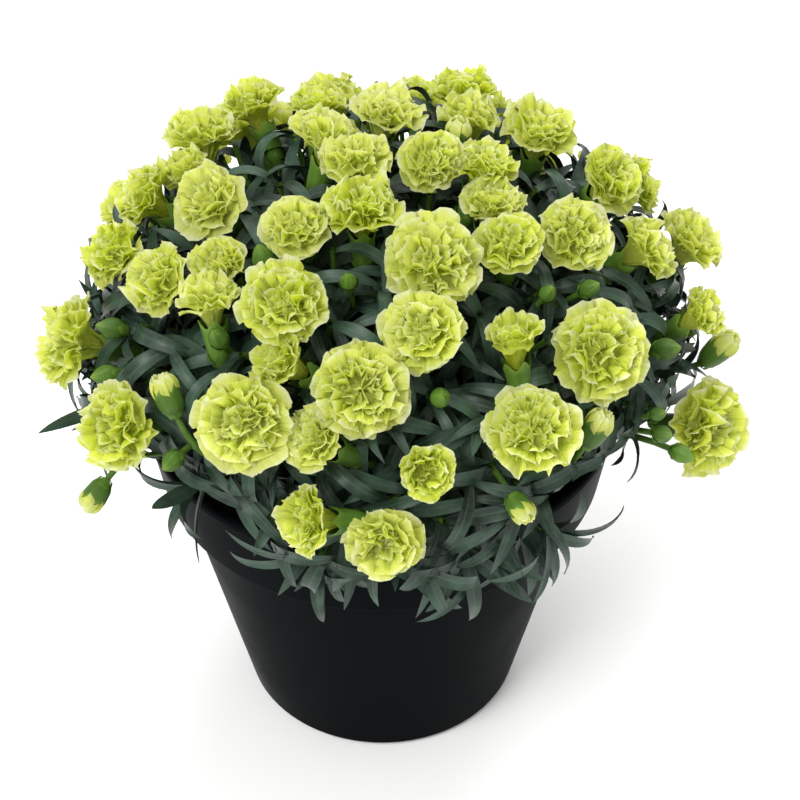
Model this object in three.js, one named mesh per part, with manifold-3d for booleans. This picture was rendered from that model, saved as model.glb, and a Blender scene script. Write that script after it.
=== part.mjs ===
// A dianthus in full bloom, growing in a round plastic pot with a deep rim band.
//
// Millimetres, +Z up. The origin is the centre of the underside of the pot, and the plant's front is -Y.
// A bearing is an angle round the pot's axis, 0 at the front and 90 at +X. A tilt is an angle down from +Z.
import * as THREE from 'three';
import { mergeVertices } from 'three/addons/utils/BufferGeometryUtils.js';
import Module from 'manifold-3d';

const wasm = await Module();
wasm.setup();

// ---- driving dimensions ----

const POT_HEIGHT = 168;
const LIP_RADIUS = 105;
const LIP_DEPTH = 5;
const BAND_HEIGHT = 41;
const BAND_FOOT_RADIUS = 97.5;
const BODY_TOP_RADIUS = 91;
const BASE_RADIUS = 62.5;
const BASE_EDGE = 2.5;
const WALL = 2.2;
const POT_SIDES = 36;
const FILL_SIDES = 24;
const DRAIN_HOLES = 4;
const DRAIN_RADIUS = 5;
const DRAIN_RING = 42;

const GAP = 0.35;
const SOIL_EDGE_Z = 152;
const SOIL_MOUND = 4;
const CROWN_RADIUS = 11;
const CROWN_TOP = 160;
const CROWN_SPREAD = 0.09;
const CROWN_DEPTH = 22;
const CROWN_RING = 44;
const LOWEST_ARRIVAL = 176;

const DOME_CENTRE_Z = 193;
const DOME_RADIUS = 145;
const DOME_RISE = 100;

const CALYX_LENGTH = 17;
const CALYX_RADIUS = 5;
const STEM_RADIUS = 1.7;
const SHOOT_TIP_RADIUS = 1.3;
const STEM_SPOTS = 28;
const BUD_LENGTH = 15;
const BUD_RADIUS = 5;

// A leaf's size, and the angles in degrees at which it leaves the stem and then bends away from it.
const LEAF_LENGTH = 46;
const LEAF_LENGTHS = [0.75, 1.15];
const LEAF_WIDTH = 6.4;
const LEAF_WIDTHS = [0.8, 1.2];
const LEAF_KEEL = 0.8;
const LEAF_CHANNEL = 0.2;
const LEAF_SLANTS = [25, 55];
const LEAF_BENDS = [30, 110];
const LEAF_SAG = 0.35;
const LEAF_STEPS = 12;
const LONG_LEAF = 46;
const UPPER_LEAF_SCALE = 0.9;
const LEAF_TRIES = 8;
const LEAF_SWAY = 0.25;

// A bloom's neck meets the calyx below the plane of its outer petals, and its crest stands above it.
const BLOOM_PETALS = 6;
const BIG_BLOOM = 37;
const BIG_BLOOM_PETALS = 7;
const NECK_RADIUS = 4.4;
const NECK_DROP = 4.5;
const NECK_DROP_SHARE = 0.45;
const CREST_RISE = 1.5;
const CREST_RISE_SHARE = 0.35;

// One petal's share of a tier's rim: how far out each point stands and how far up, against the radius.
const GUARD_RIM = [[0.84, 0.08], [0.99, -0.04], [0.98, -0.06]];
const SECOND_RIM = [[0.8, -0.05], [0.62, 0.06]];
const RIM_JITTER = 0.03;
const RIM_WAVE = 0.05;
const GUARD_DROOP = 0.08;

// Seven cuttings, one in the middle and six in a ring. The middle one feeds the top of the dome, and each of
// the others its own share of the sides.
const RING_CUTTINGS = 6;
const RING_START = -180;
const MIDDLE_TILT = 23;

// Every bloom that stands on the front and the sides of the dome: its bearing and tilt there, its diameter,
// the bearing and tilt that it faces, and how far it stands out from the dome.
const BLOOMS = [
  [-138, 35, 34, -136, 37, 1],
  [-118, 36, 36, -169, 25, 1],
  [-94, 43, 34, -92, 53, 1],
  [-101, 35, 25, -100, 32, 0.98],
  [-78, 29, 35, -45, 36, 1],
  [-80, 50, 34, -80, 50, 1],
  [-63, 44, 33, -60, 48, 1],
  [-56, 34, 26, -30, 24, 0.94],
  [-47, 39, 30, -161, 21, 1],
  [-72, 68, 43, -84, 68, 1],
  [-50, 72, 40, -45, 60, 1],
  [-42, 20, 32, -20, 22, 1],
  [-26, 34, 39, -15, 26, 1.02],
  [-23, 45, 30, -75, 50, 0.96],
  [-25, 57, 43, -20, 50, 1.02],
  [-133, 11, 35, 127, 20, 0.98],
  [-153, 24, 28, 180, 30, 0.97],
  [176, 14, 35, 140, 18, 1],
  [-60, 4, 32, 180, 3, 1.03],
  [-14, 12, 38, -164, 6, 1],
  [84, 8, 30, 10, 28, 1],
  [92, 17, 30, 127, 20, 1],
  [152, 31, 33, -175, 25, 1],
  [138, 24, 30, 167, 22, 0.97],
  [120, 32, 36, 114, 9, 1],
  [71, 20, 30, 135, 6, 0.95],
  [51, 27, 31, 0, 16, 1],
  [70, 35, 34, 30, 30, 1.01],
  [100, 43, 32, 60, 40, 1],
  [110, 56, 30, 95, 60, 0.98],
  [83, 50, 33, 97, 53, 1],
  [101, 70, 35, 114, 45, 1],
  [81, 70, 25, 85, 47, 1],
  [72, 96, 45, 48, 66, 1.01],
  [48, 53, 43, 20, 45, 1.01],
  [33, 43, 27, -149, 18, 0.97],
  [28, 59, 42, 0, 19, 1.02],
  [20, 25, 43, 10, 30, 1],
  [11, 37, 36, -20, 38, 1.05],
  [-4, 47, 43, -5, 44, 1.01],
  [-12, 58, 31, -60, 44, 0.97],
  [-12, 76, 32, -70, 72, 0.97],
  [1, 78, 35, -5, 78, 1.01],
  [8, 62, 27, 15, 50, 1.02],
];

// Blooms round the back, in two rows: their tilt, the bearings that the row runs between, how many, and how
// far they stand out.
const BACK_ROWS = [
  [56, 146, 218, 4, 0.9],
  [77, 134, 238, 7, 0.92],
];

const BUD_REACH = 0.96;

// Buds on shoots of their own: bearing, tilt, size against the full size, and the bearing and tilt they face.
const BUDS = [
  [-45, 28, 0.95, -60, 14],
  [-11, 27, 0.7, -10, 30],
  [-66, 59, 0.9, -70, 62],
  [-60, 67, 0.85, -60, 75],
  [-40, 45, 0.85, -30, 30],
  [50, 39, 0.7, 40, 30],
  [61, 44, 0.75, 60, 44],
  [67, 66, 0.95, 60, 60],
  [57, 81, 0.75, 40, 62],
  [59, 88, 0.8, 45, 80],
  [13, 50, 0.8, 10, 40],
  [24, 77, 1, 30, 105],
  [-38, 73, 0.8, -30, 85],
  [-44, 60, 1.25, -137, 32],
  [-54, 96, 1.05, -40, 120],
  [85, 86, 1.5, 80, 35],
  [42, 67, 1.25, 107, 27],
  [128, 17, 1.1, 120, 10],
  [-148, 71, 1, -148, 64],
  [181, 67, 0.9, 181, 60],
  [146, 62, 1.1, 150, 50],
  [57, 75, 0.6, 50, 50],
];

// Shoots and leaves of one cutting may come closer than those of two, because they are joined in one solid.
const SAME_CUTTING_GAP = 0.7;
const CLUMP_TOP = 164;
const RIM_LEAF_SHARES = [0.74, 0.97];
const FLOWERING_LEAF_SHARES = [0.9];

const RIM_SHOOTS = 14;
const RIM_SHOOT_RADIUS = 117;
const RIM_SHOOT_Z = 178;
const SIDE_SHOOT_RAISE = 16;

// How low a leaf may hang: down the pot's band about the middle bearing, and no lower than the lip past the
// bearings to either side of it.
const FRONT_SKIRT_Z = 138;
const SIDE_SKIRT_Z = 180;
const SKIRT_MIDDLE = 11;
const SKIRT_BEARINGS = [28, 42];

// Each kind of thing draws from its own run of seeds.
const BACK_SEED = 11;
const BLOOM_SEED = 100;
const STEM_SEED = 300;
const BUD_SEED = 500;
const RIM_SEED = 800;

// ---- small helpers ----

function seededDraws(seed) {
  let state = (Math.imul(seed, 7919) + 12345) >>> 0;
  const draw = () => {
    state = (Math.imul(state, 1664525) + 1013904223) >>> 0;
    return state / 4294967296;
  };
  draw();
  draw();
  return (low, high) => low + (high - low) * draw();
}

function radians(degrees) {
  return degrees * Math.PI / 180;
}

function vector(x, y, z) {
  return new THREE.Vector3(x, y, z);
}

function direction(bearing, tilt) {
  const b = radians(bearing);
  const t = radians(tilt);
  return vector(Math.sin(t) * Math.sin(b), -Math.sin(t) * Math.cos(b), Math.cos(t));
}

function domePoint(bearing, tilt, reach) {
  const d = direction(bearing, tilt);
  const radius = DOME_RADIUS * reach;
  return vector(radius * d.x, radius * d.y, DOME_CENTRE_Z + DOME_RISE * reach * d.z);
}

function along(start, heading, distance) {
  return start.clone().addScaledVector(heading, distance);
}

function mix(a, b, share) {
  return a + (b - a) * share;
}

// A level vector at right angles to a heading, used as the zero for turning round it.
function sidewaysOf(heading) {
  const reference = Math.abs(heading.z) < 0.95 ? vector(0, 0, 1) : vector(0, -1, 0);
  return reference.cross(heading).normalize();
}

// ---- from triangles to solids ----

function manifoldOf(positions, triangles) {
  const whole = triangles.filter(([a, b, c]) => a !== b && b !== c && c !== a);
  let volume = 0;
  const corner = (i) => vector(positions[3 * i], positions[3 * i + 1], positions[3 * i + 2]);
  for (const [a, b, c] of whole) {
    volume += corner(a).dot(corner(b).cross(corner(c)));
  }
  const outward = volume > 0 ? whole : whole.map(([a, b, c]) => [a, c, b]);
  return new wasm.Manifold(new wasm.Mesh({
    numProp: 3,
    vertProperties: new Float32Array(positions),
    triVerts: new Uint32Array(outward.flat()),
  }));
}

function solidOf(geometry) {
  const bare = geometry.clone();
  bare.deleteAttribute('normal');
  bare.deleteAttribute('uv');
  const merged = mergeVertices(bare, 1e-4);
  const index = merged.index.array;
  const triangles = [];
  for (let i = 0; i < index.length; i += 3) {
    triangles.push([index[i], index[i + 1], index[i + 2]]);
  }
  return manifoldOf(Array.from(merged.attributes.position.array), triangles);
}

// A closed skin over rings of points, each counterclockwise about the way it runs. Neighbouring rings may
// differ in number; a ring of one point closes the skin to a tip.
function skinOver(rings) {
  const positions = [];
  const numbered = rings.map((ring) => ring.map((point) => {
    positions.push(point.x, point.y, point.z);
    return positions.length / 3 - 1;
  }));
  const triangles = [];
  for (let k = 0; k + 1 < numbered.length; k += 1) {
    stitch(numbered[k], numbered[k + 1], triangles);
  }
  const first = numbered[0];
  const last = numbered[numbered.length - 1];
  for (let i = 1; i + 1 < first.length; i += 1) {
    triangles.push([first[0], first[i + 1], first[i]]);
  }
  for (let i = 1; i + 1 < last.length; i += 1) {
    triangles.push([last[0], last[i], last[i + 1]]);
  }
  return manifoldOf(positions, triangles);
}

function stitch(lower, upper, triangles) {
  const steps = (ring) => (ring.length > 1 ? ring.length : 0);
  const lowerSteps = steps(lower);
  const upperSteps = steps(upper);
  let i = 0;
  let j = 0;
  while (i < lowerSteps || j < upperSteps) {
    const here = lower[i % lower.length];
    const there = upper[j % upper.length];
    const takeLower = j >= upperSteps || (i < lowerSteps && (i + 1) * upperSteps <= (j + 1) * lowerSteps);
    if (takeLower) {
      triangles.push([here, lower[(i + 1) % lower.length], there]);
      i += 1;
    } else {
      triangles.push([here, upper[(j + 1) % upper.length], there]);
      j += 1;
    }
  }
}

// A ring of points round a place on a path.
function ringRound(centre, heading, radius, sides) {
  const side = sidewaysOf(heading);
  const rise = heading.clone().cross(side);
  return Array.from({ length: sides }, (_, i) => {
    const turn = 2 * Math.PI * i / sides;
    return along(along(centre, side, radius * Math.cos(turn)), rise, radius * Math.sin(turn));
  });
}

function turned(profile, sides) {
  const points = profile.map(([radius, height]) => new THREE.Vector2(radius, height));
  return new THREE.LatheGeometry(points, sides).rotateX(Math.PI / 2);
}

function joined(solids) {
  let row = solids;
  while (row.length > 1) {
    const next = [];
    for (let i = 0; i < row.length; i += 2) {
      next.push(i + 1 < row.length ? row[i].add(row[i + 1]) : row[i]);
    }
    row = next;
  }
  return row[0];
}

// The biggest closed shell of a solid. Loose scraps go, and so do hollows sealed inside it.
function biggestShell(solid) {
  const mesh = solid.getMesh();
  const parent = Array.from({ length: mesh.vertProperties.length / 3 }, (_, i) => i);
  const rootOf = (i) => {
    while (parent[i] !== i) {
      parent[i] = parent[parent[i]];
      i = parent[i];
    }
    return i;
  };
  const corner = (i) => vector(...mesh.vertProperties.slice(3 * i, 3 * i + 3));
  const triangles = [];
  for (let i = 0; i < mesh.triVerts.length; i += 3) {
    const [a, b, c] = mesh.triVerts.slice(i, i + 3);
    triangles.push([a, b, c]);
    parent[rootOf(a)] = rootOf(b);
    parent[rootOf(b)] = rootOf(c);
  }
  const volumes = new Map();
  for (const [a, b, c] of triangles) {
    const root = rootOf(a);
    volumes.set(root, (volumes.get(root) ?? 0) + corner(a).dot(corner(b).cross(corner(c))));
  }
  const biggest = [...volumes].sort((one, other) => other[1] - one[1])[0][0];
  const kept = triangles.filter(([a]) => rootOf(a) === biggest);
  return { positions: Array.from(mesh.vertProperties), triangles: kept };
}

function geometryOf(solid) {
  const { positions, triangles } = biggestShell(solid);
  const geometry = new THREE.BufferGeometry();
  geometry.setAttribute('position', new THREE.Float32BufferAttribute(positions, 3));
  geometry.setIndex(triangles.flat());
  const flat = geometry.toNonIndexed();
  flat.computeVertexNormals();
  return flat;
}

// ---- the pot and what it is filled with ----

const FLOOR_TOP = WALL + 0.2;
const SHOULDER_Z = POT_HEIGHT - BAND_HEIGHT;
const LIP_FOOT_Z = POT_HEIGHT - LIP_DEPTH;
const LIP_INNER_RADIUS = LIP_RADIUS - 3.8;

function innerRadiusAt(z) {
  const share = (z - SHOULDER_Z - WALL) / (LIP_FOOT_Z - SHOULDER_Z - WALL);
  return mix(BAND_FOOT_RADIUS - WALL, LIP_INNER_RADIUS - 0.4, share);
}

function potSolid() {
  const shell = solidOf(turned([
    [0, 0],
    [BASE_RADIUS - BASE_EDGE, 0],
    [BASE_RADIUS, BASE_EDGE],
    [BODY_TOP_RADIUS, SHOULDER_Z],
    [BAND_FOOT_RADIUS, SHOULDER_Z],
    [LIP_RADIUS - 1.6, LIP_FOOT_Z],
    [LIP_RADIUS, LIP_FOOT_Z + 0.6],
    [LIP_RADIUS, POT_HEIGHT - 1.4],
    [LIP_RADIUS - 1.2, POT_HEIGHT],
    [LIP_INNER_RADIUS, POT_HEIGHT],
    [innerRadiusAt(LIP_FOOT_Z), LIP_FOOT_Z],
    [innerRadiusAt(SHOULDER_Z + WALL), SHOULDER_Z + WALL],
    [BODY_TOP_RADIUS - WALL, SHOULDER_Z + WALL],
    [BASE_RADIUS - WALL, FLOOR_TOP],
    [0, FLOOR_TOP],
  ], POT_SIDES));
  const holes = [];
  for (let i = 0; i < DRAIN_HOLES; i += 1) {
    const centre = direction(360 * i / DRAIN_HOLES, 90).multiplyScalar(DRAIN_RING);
    const hole = new THREE.CylinderGeometry(DRAIN_RADIUS, DRAIN_RADIUS, 4 * WALL, 8);
    holes.push(solidOf(hole.rotateX(Math.PI / 2).translate(centre.x, centre.y, 0)));
  }
  return shell.subtract(joined(holes));
}

function crownPrism(crown, radius, top) {
  const height = top - (SOIL_EDGE_Z - CROWN_DEPTH);
  const prism = new THREE.CylinderGeometry(radius, radius, height, 6);
  return solidOf(prism.rotateX(Math.PI / 2).translate(crown.x, crown.y, top - height / 2));
}

function growingMediumSolid(crowns) {
  const inside = (radius) => radius * Math.cos(Math.PI / POT_SIDES) - GAP;
  const fill = solidOf(turned([
    [0, FLOOR_TOP + GAP],
    [inside(BASE_RADIUS - WALL), FLOOR_TOP + GAP],
    [inside(BODY_TOP_RADIUS - WALL), SHOULDER_Z + WALL + GAP],
    [inside(innerRadiusAt(SHOULDER_Z + WALL)), SHOULDER_Z + WALL + GAP],
    [inside(innerRadiusAt(SOIL_EDGE_Z)), SOIL_EDGE_Z],
    [0, SOIL_EDGE_Z + SOIL_MOUND],
  ], FILL_SIDES));
  const holes = crowns.map((crown) => crownPrism(crown, CROWN_RADIUS + GAP, POT_HEIGHT)
    .translate([0, 0, -GAP]));
  return fill.subtract(joined(holes));
}

// ---- where everything grows ----

function bloomList() {
  const list = BLOOMS.map(([bearing, tilt, size, faceBearing, faceTilt, reach]) => (
    { bearing, tilt, size, face: direction(faceBearing, faceTilt), reach }));
  const between = seededDraws(BACK_SEED);
  for (const [tilt, from, to, count, reach] of BACK_ROWS) {
    for (let i = 0; i < count; i += 1) {
      const bearing = mix(from, to, i / (count - 1)) + between(-3, 3);
      const spot = tilt + between(-4, 4);
      const size = between(31, 41);
      list.push({ bearing, tilt: spot, size, face: direction(bearing, spot - 8), reach });
    }
  }
  return list.map((bloom, i) => {
    const centre = domePoint(bloom.bearing, bloom.tilt, bloom.reach);
    const radius = bloom.size / 2;
    const drop = NECK_DROP + NECK_DROP_SHARE * radius;
    const crest = CREST_RISE + CREST_RISE_SHARE * radius;
    return { ...bloom, number: i + 1, centre, radius, drop, crest };
  });
}

function crownPlaces() {
  const crowns = [vector(0, 0, 0)];
  for (let i = 0; i < RING_CUTTINGS; i += 1) {
    const bearing = RING_START + (i + 0.5) * 360 / RING_CUTTINGS;
    crowns.push(direction(bearing, 90).multiplyScalar(CROWN_RING));
  }
  return crowns;
}

function cuttingFor(bearing, tilt) {
  if (tilt < MIDDLE_TILT) {
    return 0;
  }
  const turn = ((bearing - RING_START) % 360 + 360) % 360;
  return 1 + Math.floor(turn * RING_CUTTINGS / 360);
}

// A stem's path from its cutting's crown to where it ends, arriving along the way that it faces.
function stemPath(crown, end, face) {
  const outward = vector(end.x - crown.x, end.y - crown.y, 0);
  const start = vector(crown.x, crown.y, CROWN_TOP - 4).addScaledVector(outward, CROWN_SPREAD);
  const reach = start.distanceTo(end);
  const leave = start.clone().addScaledVector(outward, 0.2).add(vector(0, 0, reach * 0.3));
  const arrive = along(end, face, -0.4 * reach);
  arrive.z = Math.max(arrive.z, LOWEST_ARRIVAL);
  return new THREE.CubicBezierCurve3(start, leave, arrive, end);
}

// ---- keeping things apart ----

// Spots along everything green, each with the cutting that it belongs to.
const greenSpots = [];

function clearOfPot(spot, radius) {
  const across = Math.hypot(spot.x, spot.y);
  if (across > LIP_RADIUS + radius + GAP) {
    return true;
  }
  if (across > LIP_INNER_RADIUS - radius - 2) {
    return spot.z > POT_HEIGHT + radius + GAP;
  }
  return spot.z > SOIL_EDGE_Z + SOIL_MOUND + radius;
}

// 0 about the skirt's middle and 1 round the sides and the back.
function sideShare(spot) {
  const bearing = Math.abs(Math.atan2(spot.x, -spot.y) * 180 / Math.PI - SKIRT_MIDDLE);
  const [front, side] = SKIRT_BEARINGS;
  return Math.min(1, Math.max(0, (bearing - front) / (side - front)));
}

function aboveSkirt(spot) {
  return spot.z > mix(FRONT_SKIRT_Z, SIDE_SKIRT_Z, sideShare(spot));
}

function clearOfBloom(spot, radius, bloom) {
  const offset = spot.clone().sub(bloom.centre);
  const height = offset.dot(bloom.face);
  if (height > bloom.crest + radius + 1 || height < -bloom.drop - radius - GAP) {
    return true;
  }
  const across = Math.sqrt(Math.max(0, offset.lengthSq() - height * height));
  const share = Math.min(1, (height + bloom.drop) / (bloom.drop - 0.2 * bloom.radius));
  const girth = mix(NECK_RADIUS, bloom.radius * 1.06, Math.max(0, share));
  return across > girth + 1.25 * radius + GAP;
}

function clearOfOtherCuttings(spot, radius, stem) {
  return greenSpots.every((other) => other.cutting === stem.cutting
    || other.spot.distanceTo(spot) > other.radius + radius + GAP);
}

function clearOfOwnCutting(spot, radius, stem) {
  return greenSpots.every((other) => other.cutting !== stem.cutting || other.owner === stem.seed
    || other.spot.distanceTo(spot) > SAME_CUTTING_GAP * (other.radius + radius));
}

function isClear(spots, stem, blooms) {
  return spots.every(({ spot, radius }) => aboveSkirt(spot)
    && clearOfPot(spot, radius)
    && blooms.every((bloom) => clearOfBloom(spot, radius, bloom))
    && clearOfOtherCuttings(spot, radius, stem)
    && clearOfOwnCutting(spot, radius, stem));
}

function occupy(spots, stem, owner) {
  for (const { spot, radius } of spots) {
    greenSpots.push({ spot, radius, cutting: stem.cutting, owner });
  }
}

// ---- blooms ----

// Tiers of petals round one core: each tier's rim stands out over the groove above the tier below it.
function bloomSolid(bloom) {
  const { centre, face, radius, drop, crest } = bloom;
  const petals = bloom.size > BIG_BLOOM ? BIG_BLOOM_PETALS : BLOOM_PETALS;
  const draws = seededDraws(BLOOM_SEED + bloom.number);
  const side = sidewaysOf(face);
  const rise = face.clone().cross(side);
  const start = draws(0, 2 * Math.PI);
  const place = (turn, across, height) => along(
    along(along(centre, side, across * Math.cos(turn)), rise, across * Math.sin(turn)), face, height);
  const groove = (across, height) => Array.from({ length: petals }, (_, i) => (
    place(start + 2 * Math.PI * i / petals, across, height)));
  const rim = (profile, height) => Array.from({ length: petals * profile.length }, (_, i) => {
    const [share, lift] = profile[i % profile.length];
    const turn = start + 2 * Math.PI * i / (petals * profile.length);
    const across = radius * (share + draws(-RIM_JITTER, RIM_JITTER));
    return place(turn, across, height + radius * (lift + draws(-RIM_WAVE, RIM_WAVE)));
  });
  return skinOver([
    groove(NECK_RADIUS, -drop),
    rim(GUARD_RIM, -GUARD_DROOP * radius),
    groove(0.66 * radius, 0.1 * crest),
    rim(SECOND_RIM, 0.4 * crest),
    groove(0.4 * radius, 0.5 * crest),
    groove(0.46 * radius, 0.95 * crest),
    [place(0, 0, 0.55 * crest)],
  ]);
}

// Blooms that touch grow together into one node.
function bloomNodes(blooms) {
  const nodes = [];
  for (const bloom of blooms) {
    let members = [bloom];
    let solid = bloomSolid(bloom);
    for (const other of [...nodes]) {
      if (!other.solid.intersect(solid).isEmpty()) {
        members = [...other.members, ...members];
        solid = other.solid.add(solid);
        nodes.splice(nodes.indexOf(other), 1);
      }
    }
    nodes.push({ members, solid });
  }
  return nodes;
}

// ---- leaves, stems and buds ----

function pathRings(path, shares, fromRadius, toRadius, sides) {
  return shares.map((share) => ringRound(
    path.getPoint(share), path.getTangent(share), mix(fromRadius, toRadius, share), sides));
}

function pathSpots(path, radius) {
  return Array.from({ length: STEM_SPOTS + 1 }, (_, i) => (
    { spot: path.getPoint(i / STEM_SPOTS), radius }));
}

// The calyx widens from the stem to a mouth just under the bloom's neck.
function calyxRings(base, face) {
  return [[0.2, 0.8], [1, 1.06]].map(([height, girth]) => (
    ringRound(along(base, face, height * CALYX_LENGTH), face, girth * CALYX_RADIUS, 5)));
}

function bloomStem(bloom, crowns) {
  const cutting = cuttingFor(bloom.bearing, bloom.tilt);
  const mouth = along(bloom.centre, bloom.face, -bloom.drop - GAP);
  const base = along(mouth, bloom.face, -CALYX_LENGTH);
  const path = stemPath(crowns[cutting], base, bloom.face);
  const solid = skinOver([
    ...pathRings(path, [0, 0.35, 0.7, 1], STEM_RADIUS, STEM_RADIUS, 3),
    ...calyxRings(base, bloom.face),
  ]);
  const spots = pathSpots(path, STEM_RADIUS);
  for (const share of [0.35, 0.75]) {
    spots.push({ spot: along(base, bloom.face, share * CALYX_LENGTH), radius: CALYX_RADIUS });
  }
  return { cutting, path, solid, spots, seed: STEM_SEED + bloom.number };
}

function budStem([bearing, tilt, scale, faceBearing, faceTilt], i, crowns) {
  const cutting = cuttingFor(bearing, tilt);
  const face = direction(faceBearing, faceTilt);
  const length = BUD_LENGTH * scale;
  const centre = domePoint(bearing, tilt, tilt > 84 ? 1 : BUD_REACH);
  const base = along(centre, face, -length / 2);
  const path = stemPath(crowns[cutting], base, face);
  const girth = BUD_RADIUS * Math.min(scale, 1.15);
  const solid = skinOver([
    ...pathRings(path, [0, 0.5, 1], STEM_RADIUS, SHOOT_TIP_RADIUS, 3),
    ringRound(along(base, face, 0.2 * length), face, 0.85 * girth, 5),
    ringRound(along(base, face, 0.62 * length), face, 0.95 * girth, 5),
    [along(base, face, length)],
  ]);
  const spots = [...pathSpots(path, STEM_RADIUS), { spot: centre, radius: girth }];
  return { cutting, path, solid, spots, seed: BUD_SEED + i };
}

// A leaf's midrib leaves the stem at a slant and bends away from it, then down under its own weight.
function midrib(root, heading, away, { slant, bend, length }) {
  const points = [root.clone()];
  const headings = [];
  const stride = length / LEAF_STEPS;
  for (let i = 0; i < LEAF_STEPS; i += 1) {
    const share = (i + 0.5) / LEAF_STEPS;
    const turn = radians(slant + bend * share ** 1.3);
    const ahead = heading.clone().multiplyScalar(Math.cos(turn));
    ahead.addScaledVector(away, Math.sin(turn));
    ahead.z -= LEAF_SAG * share;
    ahead.normalize();
    headings.push(ahead);
    points.push(along(points[i], ahead, stride));
  }
  headings.push(headings[LEAF_STEPS - 1]);
  return { points, headings };
}

// Half the width of a leaf at a share of its length, as a share of its greatest half width.
function leafTaper(share) {
  return Math.min(1, 0.3 + 2.2 * share) * (1 - share ** 2.4);
}

function makeLeaf(root, heading, away, shape) {
  const { points, headings } = midrib(root, heading, away, shape);
  const spread = heading.clone().cross(away);
  const spots = [];
  for (let i = 3; i <= LEAF_STEPS; i += 1) {
    spots.push({ spot: points[i], radius: 0.5 * shape.width * leafTaper(i / LEAF_STEPS) + 0.3 });
  }
  const section = (i) => {
    const ahead = headings[i];
    const wide = spread.clone().addScaledVector(ahead, -spread.dot(ahead)).normalize();
    const up = ahead.clone().cross(wide);
    const half = 0.5 * shape.width * leafTaper(i / LEAF_STEPS);
    const edge = along(points[i], up, LEAF_CHANNEL * half);
    return [along(edge, wide, half), along(edge, wide, -half), along(points[i], up, -LEAF_KEEL)];
  };
  const tip = [points[LEAF_STEPS]];
  const stations = shape.length > LONG_LEAF ? [0, 3, 6, 9] : [0, 4, 8];
  return { solid: () => skinOver([...stations.map(section), tip]), spots };
}

// Opposite pairs of leaves up a stem, each pair turned a quarter from the one below. A pair that would run
// into a neighbour is drawn again, and left out when no draw is clear.
function growLeaves(stem, shares, scale, blooms) {
  const leaves = [];
  const draws = seededDraws(stem.seed);
  const quarter = draws(0, Math.PI);
  shares.forEach((share, k) => {
    const middle = stem.path.getPoint(share);
    const heading = stem.path.getTangent(share);
    const side = sidewaysOf(heading);
    const rise = heading.clone().cross(side);
    for (const half of [0, Math.PI]) {
      for (let attempt = 0; attempt < LEAF_TRIES; attempt += 1) {
        const turn = quarter + k * Math.PI / 2 + half + draws(-LEAF_SWAY, LEAF_SWAY) * (1 + attempt);
        const away = side.clone().multiplyScalar(Math.cos(turn)).addScaledVector(rise, Math.sin(turn));
        const shape = {
          slant: draws(...LEAF_SLANTS),
          bend: draws(...LEAF_BENDS),
          length: LEAF_LENGTH * scale * draws(...LEAF_LENGTHS),
          width: LEAF_WIDTH * draws(...LEAF_WIDTHS),
        };
        const leaf = makeLeaf(along(middle, away, 0.5), heading, away, shape);
        if (isClear(leaf.spots, stem, blooms)) {
          occupy(leaf.spots, stem, null);
          leaves.push({ cutting: stem.cutting, solid: leaf.solid() });
          break;
        }
      }
    }
  });
  return leaves;
}

// Shoots without a flower, whose leaves hang over the lip.
function rimShoot(i, crowns) {
  const draws = seededDraws(RIM_SEED + i);
  const bearing = 360 * (i + 0.5) / RIM_SHOOTS - 180 + draws(-5, 5);
  const cutting = cuttingFor(bearing, 90);
  const face = direction(bearing + draws(-25, 25), draws(88, 108));
  const out = RIM_SHOOT_RADIUS + draws(-6, 6);
  const end = direction(bearing, 90).multiplyScalar(out);
  end.setZ(RIM_SHOOT_Z + SIDE_SHOOT_RAISE * sideShare(end) + draws(-2, 5));
  const path = stemPath(crowns[cutting], end, face);
  const solid = skinOver(pathRings(path, [0, 0.35, 0.7, 1], STEM_RADIUS, SHOOT_TIP_RADIUS, 3));
  return { cutting, path, solid, spots: pathSpots(path, STEM_RADIUS), seed: RIM_SEED + 100 + i };
}

function greenSolids(blooms, crowns) {
  const flowering = blooms.map((bloom) => bloomStem(bloom, crowns));
  const budding = BUDS.map((bud, i) => budStem(bud, i, crowns));
  const hanging = Array.from({ length: RIM_SHOOTS }, (_, i) => rimShoot(i, crowns));
  const stems = [...flowering, ...budding, ...hanging];
  stems.forEach((stem) => occupy(stem.spots.filter(({ spot }) => spot.z > CLUMP_TOP), stem, stem.seed));
  const leaves = [
    ...hanging.flatMap((stem) => growLeaves(stem, RIM_LEAF_SHARES, 1, blooms)),
    ...flowering.flatMap((stem) => growLeaves(stem, FLOWERING_LEAF_SHARES, UPPER_LEAF_SCALE, blooms)),
  ];
  return crowns.map((crown, cutting) => {
    const own = [...stems, ...leaves].filter((part) => part.cutting === cutting);
    return joined([crownPrism(crown, CROWN_RADIUS, CROWN_TOP), ...own.map((part) => part.solid)]);
  });
}

// ---- the assembly ----

const FINISHES = {
  pot: { color: 0x1b1e21, roughness: 0.35, metalness: 0 },
  peat: { color: 0x2a2019, roughness: 0.95, metalness: 0 },
  leaf: { color: 0x3b5a4c, roughness: 0.55, metalness: 0 },
  petal: { color: 0xcdd95f, roughness: 0.6, metalness: 0 },
};

const dianthus = new THREE.Group();

function addNode(name, solid, finish) {
  const material = new THREE.MeshStandardMaterial(FINISHES[finish]);
  const mesh = new THREE.Mesh(geometryOf(solid), material);
  mesh.name = name;
  dianthus.add(mesh);
}

const CUTTING_NAMES = ['middle', 'back_left', 'left', 'front_left', 'front_right', 'right', 'back_right'];

const crowns = crownPlaces();
const blooms = bloomList();
addNode('pot', potSolid(), 'pot');
addNode('growing_medium', growingMediumSolid(crowns), 'peat');
greenSolids(blooms, crowns).forEach((solid, i) => {
  addNode(`leafy_stems_${CUTTING_NAMES[i]}`, solid, 'leaf');
});
bloomNodes(blooms).forEach(({ members, solid }) => {
  const numbers = members.map((bloom) => String(bloom.number).padStart(2, '0'));
  addNode(`bloom_${numbers.join('_')}`, solid, 'petal');
});

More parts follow.
